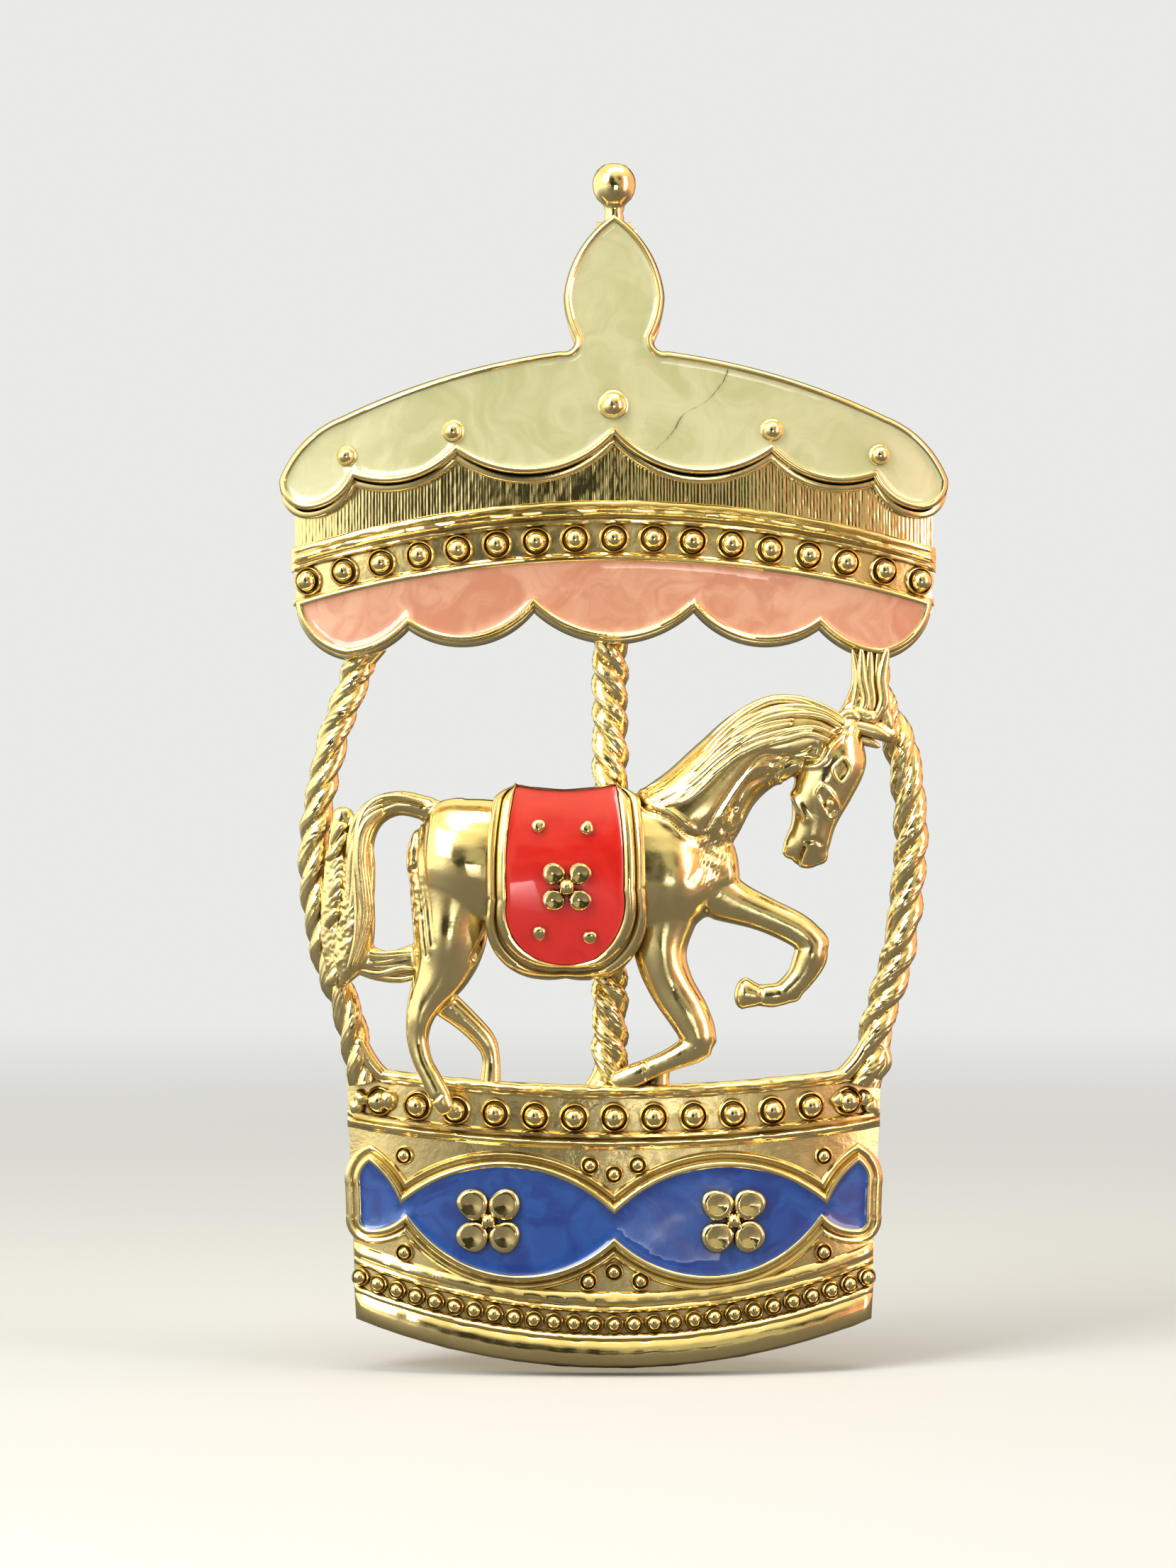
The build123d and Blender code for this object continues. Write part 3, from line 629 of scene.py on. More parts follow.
def build_crown(sizes):
    width = sizes.rim_width / MM
    shape = Shape()
    wall = [(0.0, 0.0), (0.0, 0.38), (0.04, 0.50), (0.12, 0.56), (0.30, 0.56)]
    rim(shape, CANOPY, CROWN, wall, drop=0.45)
    body = [(-0.10, 0.05), (-0.09, 0.50), (-0.02, 0.70), (-0.02, 0.98), (0.02, 1.09),
            (width * 0.3, 1.16), (width * 0.6, 1.17), (width * 0.9, 1.10), (width, 0.98), (width, 0.5)]
    rim(shape, CANOPY, CROWN, body)
    piece("crown_walls", shape, "gold plate", ["crown_tray"])
    shape = Shape()
    fill(shape, CANOPY, inset(CROWN, width - ENAMEL_OVERLAP), 0.97, sink=0.02)
    piece("crown_fill", shape, "celadon enamel", ["crown_enamel"], sharp=80)
    shape = Shape()
    for x, height, radius in ((-0.05, 47.95, 0.68), (-7.9, 46.7, 0.5), (7.75, 46.75, 0.5),
                              (-13.15, 45.55, 0.44), (13.05, 45.6, 0.46)):
        foot = [(radius * 1.22, -0.12), (radius * 1.14, -0.02), (radius * 0.98, 0.03)]
        lathe(shape, CANOPY.stand(x, height, 0.97), foot + ball_profile(radius, 0.06, 10), 32, 0.012)
    piece("crown_bosses", shape, "gold plate smooth",
          ["crown_stud_centre", "crown_studs_inner", "crown_studs_outer"])
    build_finial()
    build_crack()


def build_finial():
    shape = Shape()
    neck = [(0.42, -2.3), (0.5, -1.9), (0.48, -1.6), (0.42, -1.35), (0.44, -1.15), (0.60, -0.95),
            (0.84, -0.72), (1.0, -0.42), (1.07, -0.05), (1.05, 0.28), (0.96, 0.52), (0.80, 0.76),
            (0.55, 0.96), (0.28, 1.04), (0.08, 1.06)]
    lathe(shape, (np.array([0, -4.35, 59.0]), np.eye(3)), neck, 40, 0.008)
    tube(shape, [(0, -3.4, 57.9), (0.02, -3.7, 58.2), (0.04, -3.75, 58.9), (0, -3.7, 59.5)],
         [0.5, 0.55, 0.5, 0.2], 20)
    piece("finial", shape, "gold plate smooth", ["finial_ball"])


def build_crack():
    """A hairline that wanders down through the crown's enamel."""
    count = 120
    path = smooth_path([(5.69, 49.88), (5.4, 49.1), (4.57, 48.15), (3.5, 47.55),
                        (2.9, 46.6), (2.07, 45.77)], count)
    made = np.random.default_rng(5)
    path[:, 0] += np.convolve(made.normal(0, 0.04, count), np.ones(5) / 5, "same")
    width = 0.04 * np.sin(np.linspace(0.25, math.pi - 0.2, count)) ** 0.5
    across = np.stack([width, width * 0.6], 1)
    shape = Shape()
    shape.rings([CANOPY.place(path + across * side, 1.035) for side in (-1, 1)], closed=False)
    piece("crown_hairline", shape, "crack", ())


def build_frieze(sizes):
    """The strip of fine upright hatching under the crown."""
    pitch = sizes.hatch_pitch / MM
    x = np.arange(-16.05, 16.06, pitch / 5)
    tall, rows = 4.2, 26
    made = np.random.default_rng(7)
    count = int(34 / pitch) + 2
    depth = made.uniform(0.25, 1.0, (count, 4))
    offset = np.cumsum(made.uniform(0.72, 1.28, count)) * pitch - 16.4
    rings = []
    for row in range(rows):
        share = row / (rows - 1)
        near = np.abs(x[:, None] - offset[None] - 0.03 * math.sin(row * 0.7)).argmin(1)
        gap = np.abs(x - offset[near])
        cut = depth[near, min(3, int(share * 4))] * (0.75 + 0.25 * np.sin(row * 1.3 + near * 2.1))
        groove = 0.034 * cut * np.exp(-(gap / (pitch * 0.30)) ** 2)
        height = 46.8 + CANOPY_ARCH[0] * (x / CANOPY_ARCH[1]) ** 2 - share * tall
        lift = 0.10 - groove + 0.05 * np.sin(x * 0.9 + 1) * share
        rings.append(CANOPY.place(np.stack([x, height], 1), lift))
    shape = Shape()
    shape.rings(rings, closed=False)
    square = 0.9 * np.array([(-1, -1), (1, -1), (1, 1), (-1, 1)])
    for cusp in ((-7.85, 45.7), (0, 46.5), (7.85, 45.7)):
        shape.add(CANOPY.place(square + cusp, -1.12), [[0, 1, 2, 3]])
    piece("canopy_frieze", shape, "gold plate smooth", (), sharp=60)


def build_canopy(sizes):
    build_frieze(sizes)
    upper = [(-0.22, 0.0), (-0.20, 0.16), (-0.10, 0.26), (0.02, 0.28), (0.10, 0.20), (0.15, 0.19),
             (0.20, 0.36), (0.30, 0.48), (0.42, 0.50), (0.52, 0.42), (0.58, 0.24), (0.66, 0.20),
             (0.72, 0.32), (0.80, 0.38), (0.90, 0.36), (0.98, 0.20), (1.02, 0.0)]
    shape = Shape()
    ridge(shape, CANOPY, CANOPY_ARCH, 43.1, 16.25, upper, seed=2)
    lower = [(-0.10, 0.0), (-0.06, 0.18), (0.04, 0.26), (0.14, 0.20), (0.20, 0.12), (0.30, 0.0)]
    ridge(shape, CANOPY, CANOPY_ARCH, 40.62, 16.15, lower, seed=5)
    piece("canopy_moulding", shape, "gold plate", ["canopy_upper_moulding"])
    width = sizes.rim_width / MM
    shape = Shape()
    skirt = [(-0.05, -0.9), (-0.04, -0.1), (0.0, 0.18), (0.06, 0.32), (0.16, 0.36), (0.3, 0.36)]
    rim(shape, CANOPY, VALANCE, skirt, drop=0.22)
    body = [(-0.04, 0.0), (-0.02, 0.50), (0.02, 0.68), (width * 0.3, 0.76), (width * 0.6, 0.77),
            (width * 0.9, 0.70), (width, 0.58), (width, 0.2)]
    rim(shape, CANOPY, VALANCE, body)
    piece("valance_wall", shape, "gold plate", ["valance_rim"])
    shape = Shape()
    fill(shape, CANOPY, inset(VALANCE, width - ENAMEL_OVERLAP), 0.54, sink=0.04, seed=9)
    piece("valance_fill", shape, "pink enamel", ["valance_enamel"], sharp=80)


def bow_places(bow, rule, middle, count, pitch):
    """Places that lie pitch apart along the bowed surface."""
    x = np.linspace(-bow.half_width * 0.97, bow.half_width * 0.97, 4000)
    y = -bow.depth * np.sqrt(1 - (x / bow.half_width) ** 2)
    far = np.concatenate([[0], np.cumsum(np.hypot(np.diff(x), np.diff(y)))])
    far -= np.interp(0, x, far)
    found = np.interp((np.arange(count) - (count - 1) / 2) * pitch, far, x)
    return [(float(v), middle + rule[0] * (v / rule[1]) ** 2) for v in found]


def bead_set(name, bow, places, sizes, nodes, lift):
    """Beads of (radius, cup inside, cup outside) sunk in round cups."""
    radius, inner, outer = sizes
    beads, cups = Shape(), Shape()
    for x, height in places:
        x, height = x + RANDOM.normal(0, 0.012), height + RANDOM.normal(0, 0.012)
        size = radius * (1 + RANDOM.normal(0, 0.02))
        lathe(beads, bow.stand(x, height, lift), ball_profile(size, -0.5, 11), 28, 0.015)
        lip = [(outer * 1.02, -0.06), (outer, 0.10), (outer * 0.95, 0.19), (outer * 0.88, 0.23),
               (inner * 1.08, 0.20), (inner, 0.10), (inner * 0.97, -0.02), (0.05, -0.03)]
        scale = 1.0 if radius > 0.3 else 0.6
        lathe(cups, bow.stand(x, height), [(r, z * scale) for r, z in lip], 32, 0.012)
    piece(name + "_pearls", beads, "gold plate smooth", nodes[:1])
    piece(name + "_seats", cups, "gold plate", nodes[1:])


def build_beads():
    large, small = (0.52, 0.58, 0.76), (0.31, 0.36, 0.48)
    bead_set("canopy", CANOPY, bow_places(CANOPY, CANOPY_ARCH, 41.4, 17, 1.95), large,
             ["canopy_beads", "canopy_bead_cups"], 0.24)
    bead_set("drum", DRUM, bow_places(DRUM, DRUM_ARCH, 12.5, 13, 1.985), large,
             ["drum_beads", "drum_bead_cups"], 0.24)
    field = [(1.18, 10.15), (-1.18, 10.15), (0, 9.7), (10.5, 10.5), (-10.5, 10.5),
             (1.3, 4.35), (-1.3, 4.35), (0, 4.8), (10.5, 5.65), (-10.5, 5.65)]
    bead_set("field", DRUM, field, small, ["field_beads", "field_bead_cups"], 0.12)
    fine = Shape()
    for x, height in bow_places(DRUM, FOOT_ARCH, 2.2, 27, 1.0):
        size = 0.33 * (1 + RANDOM.normal(0, 0.03))
        lathe(fine, DRUM.stand(x, height, 0.16), ball_profile(size, -0.3, 9), 22, 0.02)
        lip = [(0.49, 0.0), (0.48, 0.14), (0.44, 0.19), (0.39, 0.16), (0.36, 0.06)]
        lathe(fine, DRUM.stand(x, height, 0.02), lip, 22, 0.02)
    piece("foot_pearls", fine, "gold plate smooth", ["drum_fine_beads"])


# ---------------------------------------------------------------- drum

def build_drum():
    """The drum's mouldings and foot, with blobs of metal at the ends of the top one."""
    double = [(-0.08, 0.0), (-0.04, 0.26), (0.06, 0.40), (0.18, 0.46), (0.30, 0.40), (0.37, 0.26),
              (0.42, 0.24), (0.47, 0.30), (0.53, 0.30), (0.60, 0.12), (0.62, 0.0)]
    middle = [(-0.06, 0.0), (-0.02, 0.30), (0.08, 0.44), (0.20, 0.44), (0.28, 0.26), (0.34, 0.22),
              (0.40, 0.36), (0.50, 0.44), (0.62, 0.40), (0.68, 0.22), (0.76, 0.16), (0.84, 0.10),
              (0.86, 0.0)]
    low = [(-0.22, 0.0), (-0.20, 0.12), (-0.08, 0.24), (0.08, 0.32), (0.24, 0.36), (0.36, 0.30),
           (0.44, 0.20), (0.50, 0.20), (0.56, 0.30), (0.66, 0.34), (0.76, 0.26), (0.84, 0.12), (0.88, 0.0)]
    foot = [(-0.12, 0.0), (-0.10, 0.25), (0.0, 0.40), (0.10, 0.46), (0.20, 0.42), (0.26, 0.36),
            (0.36, 0.44), (0.6, 0.56), (0.9, 0.60), (1.2, 0.58), (1.42, 0.48), (1.56, 0.30),
            (1.62, 0.05), (1.62, -0.5)]
    shape = Shape()
    ridge(shape, DRUM, DRUM_ARCH, 14.05, 13.5, double, seed=12, rough=0.05)
    for x, height in ((-12.6, 13.35), (12.6, 13.35), (-11.3, 13.3), (11.2, 13.3),
                      (12.9, 12.9), (-12.9, 12.9)):
        blob = ball_profile(0.42 + RANDOM.uniform(-0.08, 0.1), -0.3, 7)
        lathe(shape, DRUM.stand(x, height, 0.1), blob, 14, 0.12)
    piece("drum_rim_top", shape, "gold plate rough", ["drum_top_moulding"])
    shape = Shape()
    ridge(shape, DRUM, DRUM_ARCH, 11.75, 13.45, middle, seed=22)
    piece("drum_rim_middle", shape, "gold plate", ["drum_middle_moulding"])
    shape = Shape()
    ridge(shape, DRUM, FOOT_ARCH, 3.6, 13.1, low, seed=32)
    piece("drum_rim_low", shape, "gold plate", ["drum_lower_moulding"])
    shape = Shape()
    ridge(shape, DRUM, FOOT_ARCH, 1.62, 13.1, foot, seed=42, half_bottom=13.0)
    piece("drum_skirt", shape, "gold plate smooth", ["drum_foot"])


def flower(shape, place, petal, reach, centre):
    """Four domed petals with ribs between, round a boss."""
    middle, axes = place
    profile = [(petal, -0.25), (petal, 0.04), (petal * 0.94, 0.17), (petal * 0.80, 0.25),
               (petal * 0.6, 0.24), (petal * 0.3, 0.19), (0.02, 0.17)]
    for corner in range(4):
        turn = math.pi / 4 + corner * math.pi / 2
        way = math.cos(turn) * axes[0] + math.sin(turn) * axes[1]
        lathe(shape, (middle + reach * way, axes), profile, 28, 0.035)
        along = [middle + (0.25 * centre + reach * share) * way + axes[2] * (0.13 - 0.05 * share)
                 for share in (0.0, 0.35, 0.7, 1.0)]
        tube(shape, along, np.array([0.13, 0.10, 0.06, 0.02]) * petal / 0.72, 10)
    tip = [(centre * 1.15, 0.0), (centre, 0.12), (centre * 0.98, 0.22)]
    lathe(shape, place, tip + [(r, z + 0.20) for r, z in ball_profile(centre * 0.95, 0.1, 7)], 20, 0.03)


def build_blue_cell(sizes):
    width = sizes.rim_width / MM
    shape = Shape()
    body = [(-0.16, 0.0), (-0.10, 0.22), (-0.02, 0.42), (0.03, 0.53), (width * 0.35, 0.58),
            (width * 0.65, 0.58), (width * 0.9, 0.52), (width, 0.42), (width, 0.1)]
    rim(shape, DRUM, BLUE_CELL, body)
    step = [(-0.52, -0.02), (-0.46, 0.14), (-0.36, 0.22), (-0.24, 0.20), (-0.16, 0.12), (-0.10, 0.10)]
    rim(shape, DRUM, BLUE_CELL, step)
    piece("blue_cell_wall", shape, "gold plate", ["blue_cell_rim"])
    shape = Shape()
    fill(shape, DRUM, inset(BLUE_CELL, width - ENAMEL_OVERLAP), 0.40, sink=0.03, seed=17)
    piece("blue_fill", shape, "blue enamel", ["blue_enamel"], sharp=80)
    for side, x in (("left", -6.2), ("right", 5.9)):
        shape = Shape()
        flower(shape, DRUM.stand(x, 7.36, 0.44), 0.80, 1.14, 0.36)
        piece("blossom_" + side, shape, "gold plate smooth", ["drum_flower_" + side])


# ---------------------------------------------------------------- poles

def rope(shape, path, y, radius, turn, slope):
    """A cast rope of three strands. Slope is 1 when they fall to the left in front."""
    points = smooth_path(path, ROPE_RINGS)
    made = np.random.default_rng(int(turn * 100))
    wander, grain = made.uniform(0, 6, 4), made.uniform(0, 6, 4)

    def relief(turns, far):
        lean = 0.16 * math.sin(far * 0.9 + wander[0]) + 0.10 * math.sin(far * 2.3 + wander[1])
        phase = turns + slope * math.tau * far / turn + lean
        lobe = np.abs(np.sin(1.5 * phase)) ** 0.75
        fibre = (0.022 * np.sin(16 * phase + grain[0])
                 + 0.012 * np.sin(29 * phase + 2 * far + grain[1]))
        lump = (0.03 * math.sin(far * 3.1 + grain[2])
                + 0.02 * np.sin(2 * turns + far * 1.7 + grain[3]))
        return 0.69 + 0.34 * lobe + fibre * (0.4 + lobe) + lump

    tube(shape, with_depth(points, y), radius, 72, relief)


def build_poles(sizes):
    turn = sizes.rope_turn / MM
    shape = Shape()
    rope(shape, [(-0.2, 37.6), (-0.2, 31), (-0.2, 24), (-0.2, 18), (-0.2, 13.6)], -2.9, 0.88, turn, -1)
    limb(shape, [(-0.2, 13.7, 1.5, 0.6), (-0.2, 14.25, 1.15, 0.62), (-0.2, 14.8, 0.85, 0.66),
                 (-0.2, 15.5, 0.66, 0.6)], -2.9)
    limb(shape, [(2.1, 13.7, 1.0, 0.5), (2.2, 14.3, 0.6, 0.5), (2.4, 15.0, 0.42, 0.4)], -3.2)
    piece("rope_centre", shape, "gold plate", ["pole_centre"])
    left = [(-12.3, 36.9), (-13.1, 34.3), (-14.15, 31.4), (-14.95, 27.5), (-15.1, 24.5),
            (-14.5, 20.6), (-13.4, 17.7), (-12.6, 14.1)]
    right = [(12.7, 36.9), (13.3, 33.4), (14.4, 31.2), (14.95, 27.6), (14.85, 24.6),
             (14.35, 20.8), (13.4, 17.5), (12.6, 14.0)]
    shape = Shape()
    rope(shape, left, -1.9, 0.76, turn * 1.15, 1)
    limb(shape, [(-11.0, 14.25, 0.3, 0.4), (-11.7, 14.55, 0.4, 0.45), (-12.3, 15.2, 0.45, 0.5),
                 (-12.8, 16.2, 0.4, 0.5)], -2.1)
    limb(shape, [(-12.7, 35.4, 0.7, 0.5), (-12.4, 36.2, 1.0, 0.5)], -1.9)
    piece("rope_left", shape, "gold plate", ["pole_left"])
    shape = Shape()
    rope(shape, right, -1.9, 0.84, turn * 1.28, 1)
    limb(shape, [(10.6, 14.2, 0.25, 0.4), (11.5, 14.5, 0.4, 0.45), (12.3, 15.3, 0.45, 0.5),
                 (12.9, 16.4, 0.4, 0.5)], -2.1)
    limb(shape, [(13.2, 14.5, 0.35, 0.4), (13.65, 15.1, 0.35, 0.4), (13.5, 15.8, 0.35, 0.4),
                 (13.1, 16.2, 0.3, 0.4)], -2.0)
    piece("rope_right", shape, "gold plate", ["pole_right"])


# ---------------------------------------------------------------- horse

def limb(shape, rows, y=BODY_Y):
    """A body lofted through (x, height, half width, half depth, y) with rounded ends. A row
    of four takes the common y."""
    segments = 28
    rows = [row if len(row) == 5 else (*row, y) for row in rows]
    table = smooth_path(rows, (len(rows) - 1) * 6 + 1)
    along = np.gradient(table[:, :2], axis=0)
    along /= np.linalg.norm(along, axis=1)[:, None]
    turns = math.tau * np.arange(segments) / segments

    def ring(row, direction, scale=1.0, push=0.0):
        side = np.array([direction[1], -direction[0]])
        centre = row[:2] + direction * push
        flat = centre + (row[2] * scale * np.cos(turns))[:, None] * side
        return np.stack([flat[:, 0], row[4] + row[3] * scale * np.sin(turns), flat[:, 1]], 1)

    rings = []
    first, last = table[0], table[-1]
    for share in (0.2, 0.55, 0.85):
        push = -math.sqrt(1 - share ** 2) * min(first[2], first[3]) * 0.8
        rings.append(ring(first, along[0], share, push))
    rings += [ring(row, direction) for row, direction in zip(table, along)]
    for share in (0.85, 0.55, 0.2):
        push = math.sqrt(1 - share ** 2) * min(last[2], last[3]) * 0.8
        rings.append(ring(last, along[-1], share, push))
    shape.rings(rings, start_cap=True, end_cap=True)


HORSE_PARTS = [
    # trunk
    [(-9.75, 25.7, 1.4, .7), (-9.1, 25.6, 2.7, 1.6), (-7.4, 25.3, 3.15, 2.1), (-4.8, 25.0, 3.3, 2.3),
     (-1.6, 24.9, 3.6, 2.35), (1.4, 25.0, 3.7, 2.35), (3.6, 25.0, 3.1, 2.0), (5.2, 25.0, 1.8, 1.3)],
    # neck
    [(2.2, 26.0, 2.9, 1.9), (4.0, 27.75, 2.5, 1.9), (5.55, 29.6, 2.1, 1.7), (7.4, 31.1, 2.1, 1.5),
     (9.3, 31.6, 1.8, 1.4), (10.9, 31.3, 1.3, 1.2)],
    # head
    [(11.6, 32.0, .8, .9), (11.1, 30.6, 1.6, 1.5), (10.45, 28.9, 1.5, 1.35), (10.0, 27.3, 1.12, 1.1),
     (9.7, 26.1, 1.05, .9), (9.6, 25.4, .7, .6)],
    # near hind leg
    [(-8.0, 24.4, 2.2, 1.7), (-8.2, 21.4, 1.85, 1.5, -3.8), (-8.6, 19.8, 1.45, 1.2, -3.9),
     (-9.5, 18.1, .85, .85, NEAR_Y), (-9.8, 16.7, .58, .65, NEAR_Y), (-9.55, 15.4, .5, .55, -4.3),
     (-9.1, 14.5, .52, .5, -4.5), (-8.7, 13.7, .54, .52, -4.6), (-8.42, 13.1, .50, .5, -4.6)],
    # far hind leg
    [(-9.0, 18.6, .8, .6, FAR_Y), (-7.5, 17.4, .62, .6, FAR_Y), (-6.45, 16.3, .55, .55, FAR_Y),
     (-6.15, 15.4, .45, .45, FAR_Y), (-6.2, 14.1, .55, .5, FAR_Y)],
    # standing foreleg
    [(2.5, 23.6, 2.0, 1.6), (2.3, 20.9, 1.35, 1.3, -3.8), (2.8, 19.2, 1.15, 1.1, -3.9),
     (3.7, 17.7, 1.05, .95, NEAR_Y), (4.3, 16.5, .85, .8, NEAR_Y), (4.5, 15.8, .4, .5, NEAR_Y)],
    [(4.7, 16.5, .5, .5, NEAR_Y), (4.0, 16.0, .75, .7, NEAR_Y), (3.0, 15.5, .60, .6, NEAR_Y),
     (1.9, 15.0, .55, .55, -3.9), (0.9, 14.55, .62, .5, -3.8), (0.1, 14.3, .5, .4, -3.7)],
    # raised foreleg
    [(3.4, 24.6, 1.7, 1.3), (5.4, 23.5, 1.2, 1.1), (7.4, 22.7, .9, .9), (9.1, 21.9, .85, .85),
     (10.1, 21.1, .75, .75)],
    [(10.1, 21.6, .5, .5), (9.85, 20.6, .85, .8), (9.3, 19.5, .70, .7), (8.5, 18.7, .62, .65)],
    [(9.0, 18.75, .5, .55), (8.0, 18.6, .6, .6), (7.2, 18.6, .58, .55), (6.5, 18.7, .84, .62)],
    # tail, its bridge to the leg, and the plume that ties the head to the canopy
    [(-9.2, 27.9, .6, .6, TAIL_Y), (-10.8, 28.2, .62, .7, TAIL_Y), (-12.1, 27.6, .7, .8, TAIL_Y),
     (-12.7, 26.2, .7, .85, TAIL_Y), (-12.8, 24.0, .8, .9, TAIL_Y), (-12.9, 21.8, .95, .9, TAIL_Y),
     (-13.2, 20.3, .85, .8, TAIL_Y), (-13.6, 19.2, .3, .4, TAIL_Y)],
    [(-12.6, 20.4, .80, .5, TAIL_Y), (-11.2, 20.15, .66, .45, TAIL_Y), (-9.5, 20.5, .85, .5, TAIL_Y)],
    [(-13.6, 27.7, .55, .4, -2.8), (-13.6, 26.0, .8, .5, -2.8), (-13.8, 23.5, .9, .55, -2.8),
     (-13.8, 21.3, .9, .5, -2.8), (-13.8, 19.5, .6, .4, -2.8)],
    [(11.2, 31.4, .7, .6, -3.3), (12.1, 32.6, .82, .6, -3.0), (12.65, 34.0, .80, .55, -2.8),
     (12.75, 36.0, .85, .5, -2.6)],
    [(11.6, 31.7, .55, .5, -3.6), (12.9, 31.9, .50, .45, -3.2), (13.9, 31.7, .55, .45, -2.6)],
    # chin and lips
    [(9.5, 26.9, .7, .7), (8.95, 26.0, .55, .6), (8.75, 25.75, .4, .45)],
    [(10.1, 26.3, .6, .7), (10.2, 25.5, .52, .55)],
]

# Bulges: (x, height, reach along x, reach in height, amount)
SWELLS = [
    (-8.0, 25.2, 1.9, 2.0, 0.42), (-8.6, 21.5, 1.0, 1.3, 0.16), (3.1, 24.2, 1.5, 2.1, 0.42),
    (4.4, 25.9, 0.9, 1.4, -0.20), (10.4, 29.3, 0.55, 0.6, 0.10),
    (-5.5, 25.0, 0.9, 2.2, -0.16), (9.35, 28.4, 0.7, 0.8, 0.16), (2.6, 20.7, 0.7, 1.2, 0.10),
    (9.9, 20.9, 0.5, 0.5, 0.12), (4.1, 16.3, 0.5, 0.5, 0.10), (-9.7, 17.2, 0.4, 0.7, 0.08),
    (5.9, 24.4, 0.8, 0.7, 0.14), (7.4, 28.9, 0.8, 0.8, -0.14), (-9.5, 23.0, 0.5, 3.0, -0.10),
]

# Patches left rough by casting: (x, height, reach along x, reach in height, amount)
ROUGH = [(4.9, 25.6, 0.7, 1.3, 0.16), (5.9, 27.3, 0.5, 1.0, 0.12), (-10.0, 24.0, 0.5, 2.6, 0.10),
         (12.4, 32.6, 1.2, 0.9, 0.16), (-13.6, 23.0, 0.9, 3.6, 0.16)]

# Grooves and ridges: (points, half width, amount), where a negative amount cuts in
LINES = [
    ([(1.05, 28.7), (1.5, 27.95), (2.3, 27.6), (2.9, 27.3), (3.5, 26.75), (4.1, 26.5), (4.7, 26.6)],
     0.11, -0.22),
    ([(1.3, 28.9), (1.8, 28.2), (2.6, 27.9), (3.3, 27.4), (3.9, 26.95)], 0.12, 0.10),
    ([(5.1, 26.7), (4.5, 25.6), (3.7, 24.4)], 0.20, -0.06),
    ([(6.1, 28.0), (5.9, 27.0), (5.7, 26.0)], 0.16, -0.12),
    ([(11.2, 31.8), (10.6, 31.3), (10.2, 30.6), (9.98, 30.4), (8.8, 30.2), (8.1, 29.55), (7.9, 29.1)],
     0.10, -0.26),
    ([(11.45, 31.5), (10.9, 31.0), (10.5, 30.35), (10.1, 30.05), (9.2, 29.95), (8.55, 29.4)],
     0.12, 0.12),
    ([(8.2, 29.3), (9.1, 28.5), (9.6, 27.4)], 0.16, 0.16),
    ([(10.35, 29.13), (10.75, 28.7), (11.1, 28.1), (11.05, 27.75), (10.68, 27.5), (10.35, 28.0),
      (10.1, 28.65), (10.35, 29.13)], 0.085, 0.20),
    ([(10.5, 28.75), (10.72, 28.3), (10.7, 27.85)], 0.10, 0.10),
    ([(8.8, 30.4), (7.4, 30.6), (6.2, 29.4), (5.2, 28.0), (4.6, 26.9)], 0.13, -0.15),
    ([(8.4, 29.95), (7.0, 29.95), (6.0, 28.7), (5.3, 27.5)], 0.12, 0.11),
    ([(7.6, 29.5), (6.6, 29.0), (6.0, 27.9), (5.4, 26.9)], 0.13, -0.13),
    ([(9.43, 25.95), (9.25, 25.5), (9.15, 25.1)], 0.10, -0.34),
    ([(9.5, 26.3), (10.0, 26.35), (10.3, 26.2)], 0.10, -0.08),
    ([(-5.9, 22.6), (-6.3, 21.8), (-7.0, 20.4)], 0.15, -0.18),
    ([(-9.75, 27.2), (-9.85, 25.5), (-9.6, 23.0), (-9.3, 20.6)], 0.10, -0.14),
    ([(-9.3, 27.5), (-9.35, 25.5), (-9.15, 23.0), (-8.95, 21.2)], 0.12, -0.08),
    ([(-9.55, 27.4), (-9.6, 25.5), (-9.4, 23.0), (-9.15, 20.8)], 0.08, 0.06),
    ([(-9.4, 27.9), (-8.6, 28.3), (-7.6, 28.4)], 0.12, 0.08),
    ([(9.9, 31.0), (9.4, 30.7), (8.6, 30.5), (7.9, 30.1)], 0.10, -0.10),
    ([(4.6, 22.9), (4.9, 22.2), (5.6, 21.9)], 0.14, -0.14),
    ([(8.9, 18.1), (8.4, 17.95)], 0.14, -0.10),
    ([(7.35, 19.2), (7.25, 18.0)], 0.10, -0.10),
    ([(-8.6, 13.75), (-9.1, 13.35)], 0.09, -0.12),
    ([(1.5, 15.3), (1.65, 14.4)], 0.09, -0.10),
]


def remeshed(shape, voxel, rounds):
    """One even skin round everything in the shape, in millimetres."""
    mesh = bpy.data.meshes.new("horse_core")
    mesh.from_pydata(shape.vertices().tolist(), [], shape.faces)
    made = link("horse_core", mesh)
    skin = made.modifiers.new("skin", "REMESH")
    skin.mode = "VOXEL"
    skin.voxel_size = voxel
    ease = made.modifiers.new("ease", "SMOOTH")
    ease.factor = 0.5
    ease.iterations = rounds
    found = made.evaluated_get(bpy.context.evaluated_depsgraph_get()).to_mesh()
    points, normals = np.empty((2, len(found.vertices) * 3))
    found.vertices.foreach_get("co", points)
    found.vertices.foreach_get("normal", normals)
    faces = [list(p.vertices) for p in found.polygons]
    bpy.data.objects.remove(made)
    bpy.data.meshes.remove(mesh)
    return points.reshape(-1, 3), normals.reshape(-1, 3), faces


def distance_to_line(flat, points):
    """Distance of many flat points from a polyline."""
    best = np.full(len(flat), 1e9)
    for a, b in zip(points[:-1], points[1:]):
        ab = b - a
        share = np.clip(((flat - a) @ ab) / (ab @ ab + 1e-12), 0, 1)
        best = np.minimum(best, np.linalg.norm(flat - a - share[:, None] * ab, axis=1))
    return best


